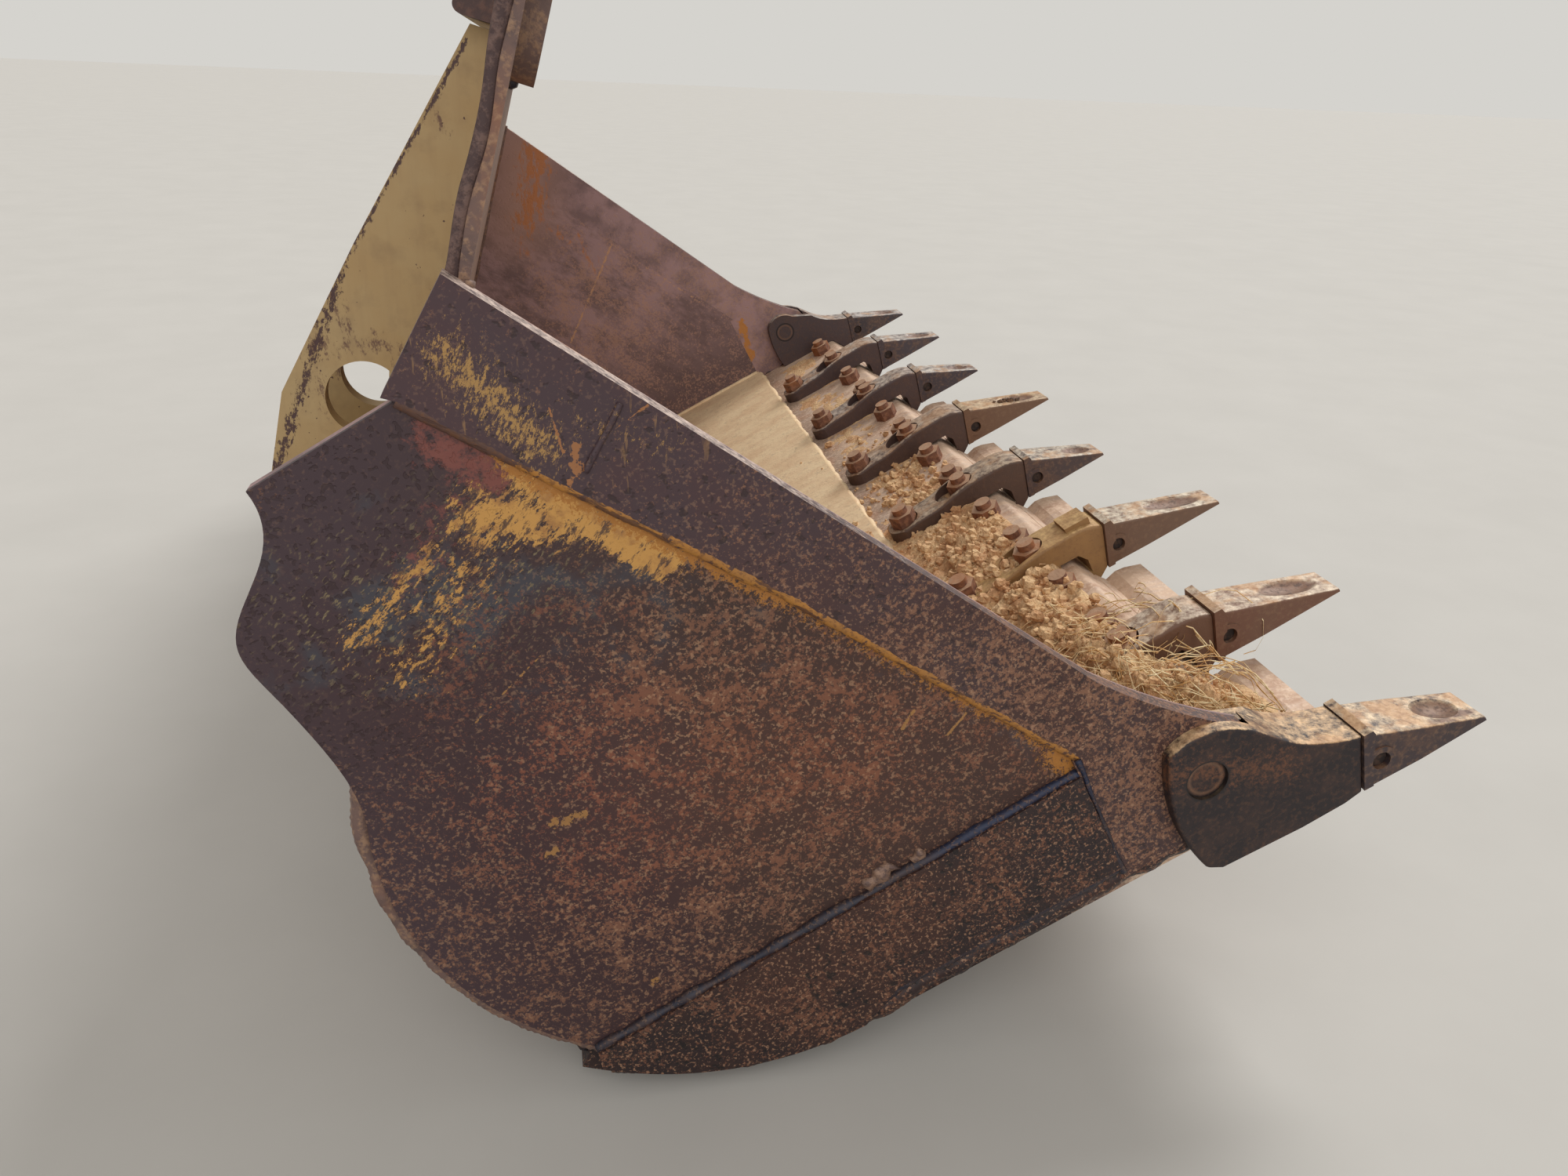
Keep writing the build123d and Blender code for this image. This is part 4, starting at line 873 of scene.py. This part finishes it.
# Straw: dry stalks caught in the soil over the right-hand corner, and one that hangs loose
# over the second tip. It gives the eye thin, curling, yellow-white strands with a low shine.
dry_straw, tree, shader, here = start_material("dry straw")
fade = patches(tree, here, 20, 0.4, 0.6)
colour = layered(tree, "#f5e0b2", [(fade, "#cf9f62")])
finish_shader(tree, shader, colour, 0.0, 0.6)
verts, faces = [], []
STRAWS, STRAW_STEPS = 190, 9
STRAW_FRONT, STRAW_LEFT = 0.625, -0.70  # the stalks stay behind and to the right of these
ADAPTER_2, ADAPTER_RISE = -0.857, 0.030  # they lie over this adapter, and rise with it


def rod(centres, thick):
    """Adds a three-sided rod along a line of points to the lists."""
    start = len(verts)
    for centre in centres:
        for side in ((0, 1, 0), (0.87, -0.5, 0), (-0.87, -0.5, 0)):
            verts.append(centre + Vector((side[0] * 0.6, side[0] * 0.5, side[1])) * thick)
    for k in range(len(centres) - 1):
        for j in range(3):
            n = (j + 1) % 3
            faces.append((start + 3 * k + j, start + 3 * k + n,
                          start + 3 * k + 3 + n, start + 3 * k + 3 + j))


def strand(u, y, length, turn, bend, thick, rise):
    """One straw that curves over the soil."""
    centres = []
    for k in range(STRAW_STEPS + 1):
        s = k / STRAW_STEPS
        u += length / STRAW_STEPS * math.cos(turn)
        y += length / STRAW_STEPS * math.sin(turn)
        u, y = min(u, STRAW_FRONT), max(min(y, STRAW_LEFT), CORNER_RIGHT)
        turn += bend * length / STRAW_STEPS
        over_adapter = ADAPTER_RISE * hump((y, ADAPTER_2, 0.05)) if u > 0.42 else 0
        spill = corner_depth(u, y) if y < CORNER_LEFT else 0
        depth = max(heap_depth(u, y), spill, over_adapter, 0)
        centres.append(spot(u, ground_height(min(u, 0.57)) + depth + 0.001
                            + rise * math.sin(math.pi * s), y))
    rod(centres, thick)


for _ in range(STRAWS):
    strand(rng.gauss(0.49, 0.05), rng.gauss(-0.975, 0.095), rng.uniform(0.07, 0.27),
           rng.uniform(0, 2 * math.pi), rng.uniform(-14, 14), rng.uniform(0.0007, 0.0014),
           rng.uniform(0.0, 0.035))
LOOSE_STALK = [(0.640, -0.330, -0.835), (0.670, -0.334, -0.842), (0.697, -0.335, -0.850),
               (0.712, -0.341, -0.862), (0.720, -0.357, -0.882), (0.722, -0.385, -0.8942),
               (0.714, -0.411, -0.8944), (0.698, -0.425, -0.8944), (0.680, -0.421, -0.8942)]
rod([spot(*p) for p in LOOSE_STALK], thick=0.0009)
add_piece("straw", verts, faces, dry_straw)

# The studio: a pale floor that the heel rests on, soft light from above and behind, and
# the camera at the right-hand front corner, fitted to the photograph.
FLOOR_Z, FLOOR_HALF = solid_box[0][2] - 0.001, 60

# A painted floor: pale, matt and faintly mottled.
studio_floor, tree, shader, here = start_material("pale studio floor")
mottle = patches(tree, here, 300, 0.3, 0.7)
colour = layered(tree, "#bbb8b2", [(mottle, "#bfbcb6")])
finish_shader(tree, shader, colour, 0.0, 0.9)
mesh = bpy.data.meshes.new("studio_floor")
mesh.from_pydata([(x * FLOOR_HALF, y * FLOOR_HALF, FLOOR_Z)
                  for x, y in ((-1, -1), (1, -1), (1, 1), (-1, 1))], [], [(0, 1, 2, 3)])
mesh.materials.append(studio_floor)
floor = bpy.data.objects.new("studio_floor", mesh)
bpy.context.scene.collection.objects.link(floor)

world = bpy.data.worlds.new("studio")
bpy.context.scene.world = world
world.use_nodes = True
tree = world.node_tree
rays = node(tree, "ShaderNodeLightPath").node.outputs
seen = rays["Is Camera Ray"]
for kind in ("Is Glossy Ray", "Is Transmission Ray"):
    seen = node(tree, "ShaderNodeMath", {0: seen, 1: rays[kind]}, operation="ADD", use_clamp=True)
backdrop = layered(tree, "#e9e6e2", [(seen, "#d5d3ce")])
strength = node(tree, "ShaderNodeMapRange", {0: seen, 3: 0.68, 4: 1.0})
tree.links.new(backdrop, tree.nodes["Background"].inputs["Color"])
tree.links.new(strength, tree.nodes["Background"].inputs["Strength"])

LAMPS = [  # where it shines from, how wide it looks in degrees, strength
    ((1.3, 1.2, 2.0), 22, 1.9), ((-0.5, -2.0, 1.3), 70, 1.15)]
for number, (place, wide, strength) in enumerate(LAMPS, start=1):
    lamp = bpy.data.lights.new(f"soft_lamp_{number}", "SUN")
    lamp.energy, lamp.angle = strength, math.radians(wide)
    holder = bpy.data.objects.new(f"soft_lamp_{number}", lamp)
    holder.location = place
    holder.rotation_euler = Vector(place).to_track_quat("Z", "Y").to_euler()
    bpy.context.scene.collection.objects.link(holder)

camera = bpy.data.cameras.new("camera")
camera.lens, camera.sensor_width = 26.48, 36
viewer = bpy.data.objects.new("camera", camera)
CAMERA_PLACE = (0.2686, -2.1915, 0.7247)
CAMERA_WAYS = [  # its right, its up and its back
    (0.97867, -0.20155, 0.03973), (0.04787, 0.41183, 0.91), (-0.19978, -0.88869, 0.4127)]
turn = Matrix(CAMERA_WAYS).transposed().to_4x4()
viewer.matrix_world = Matrix.Translation(CAMERA_PLACE) @ turn
bpy.context.scene.collection.objects.link(viewer)
bpy.context.scene.camera = viewer
bpy.context.scene.view_settings.view_transform = "Standard"
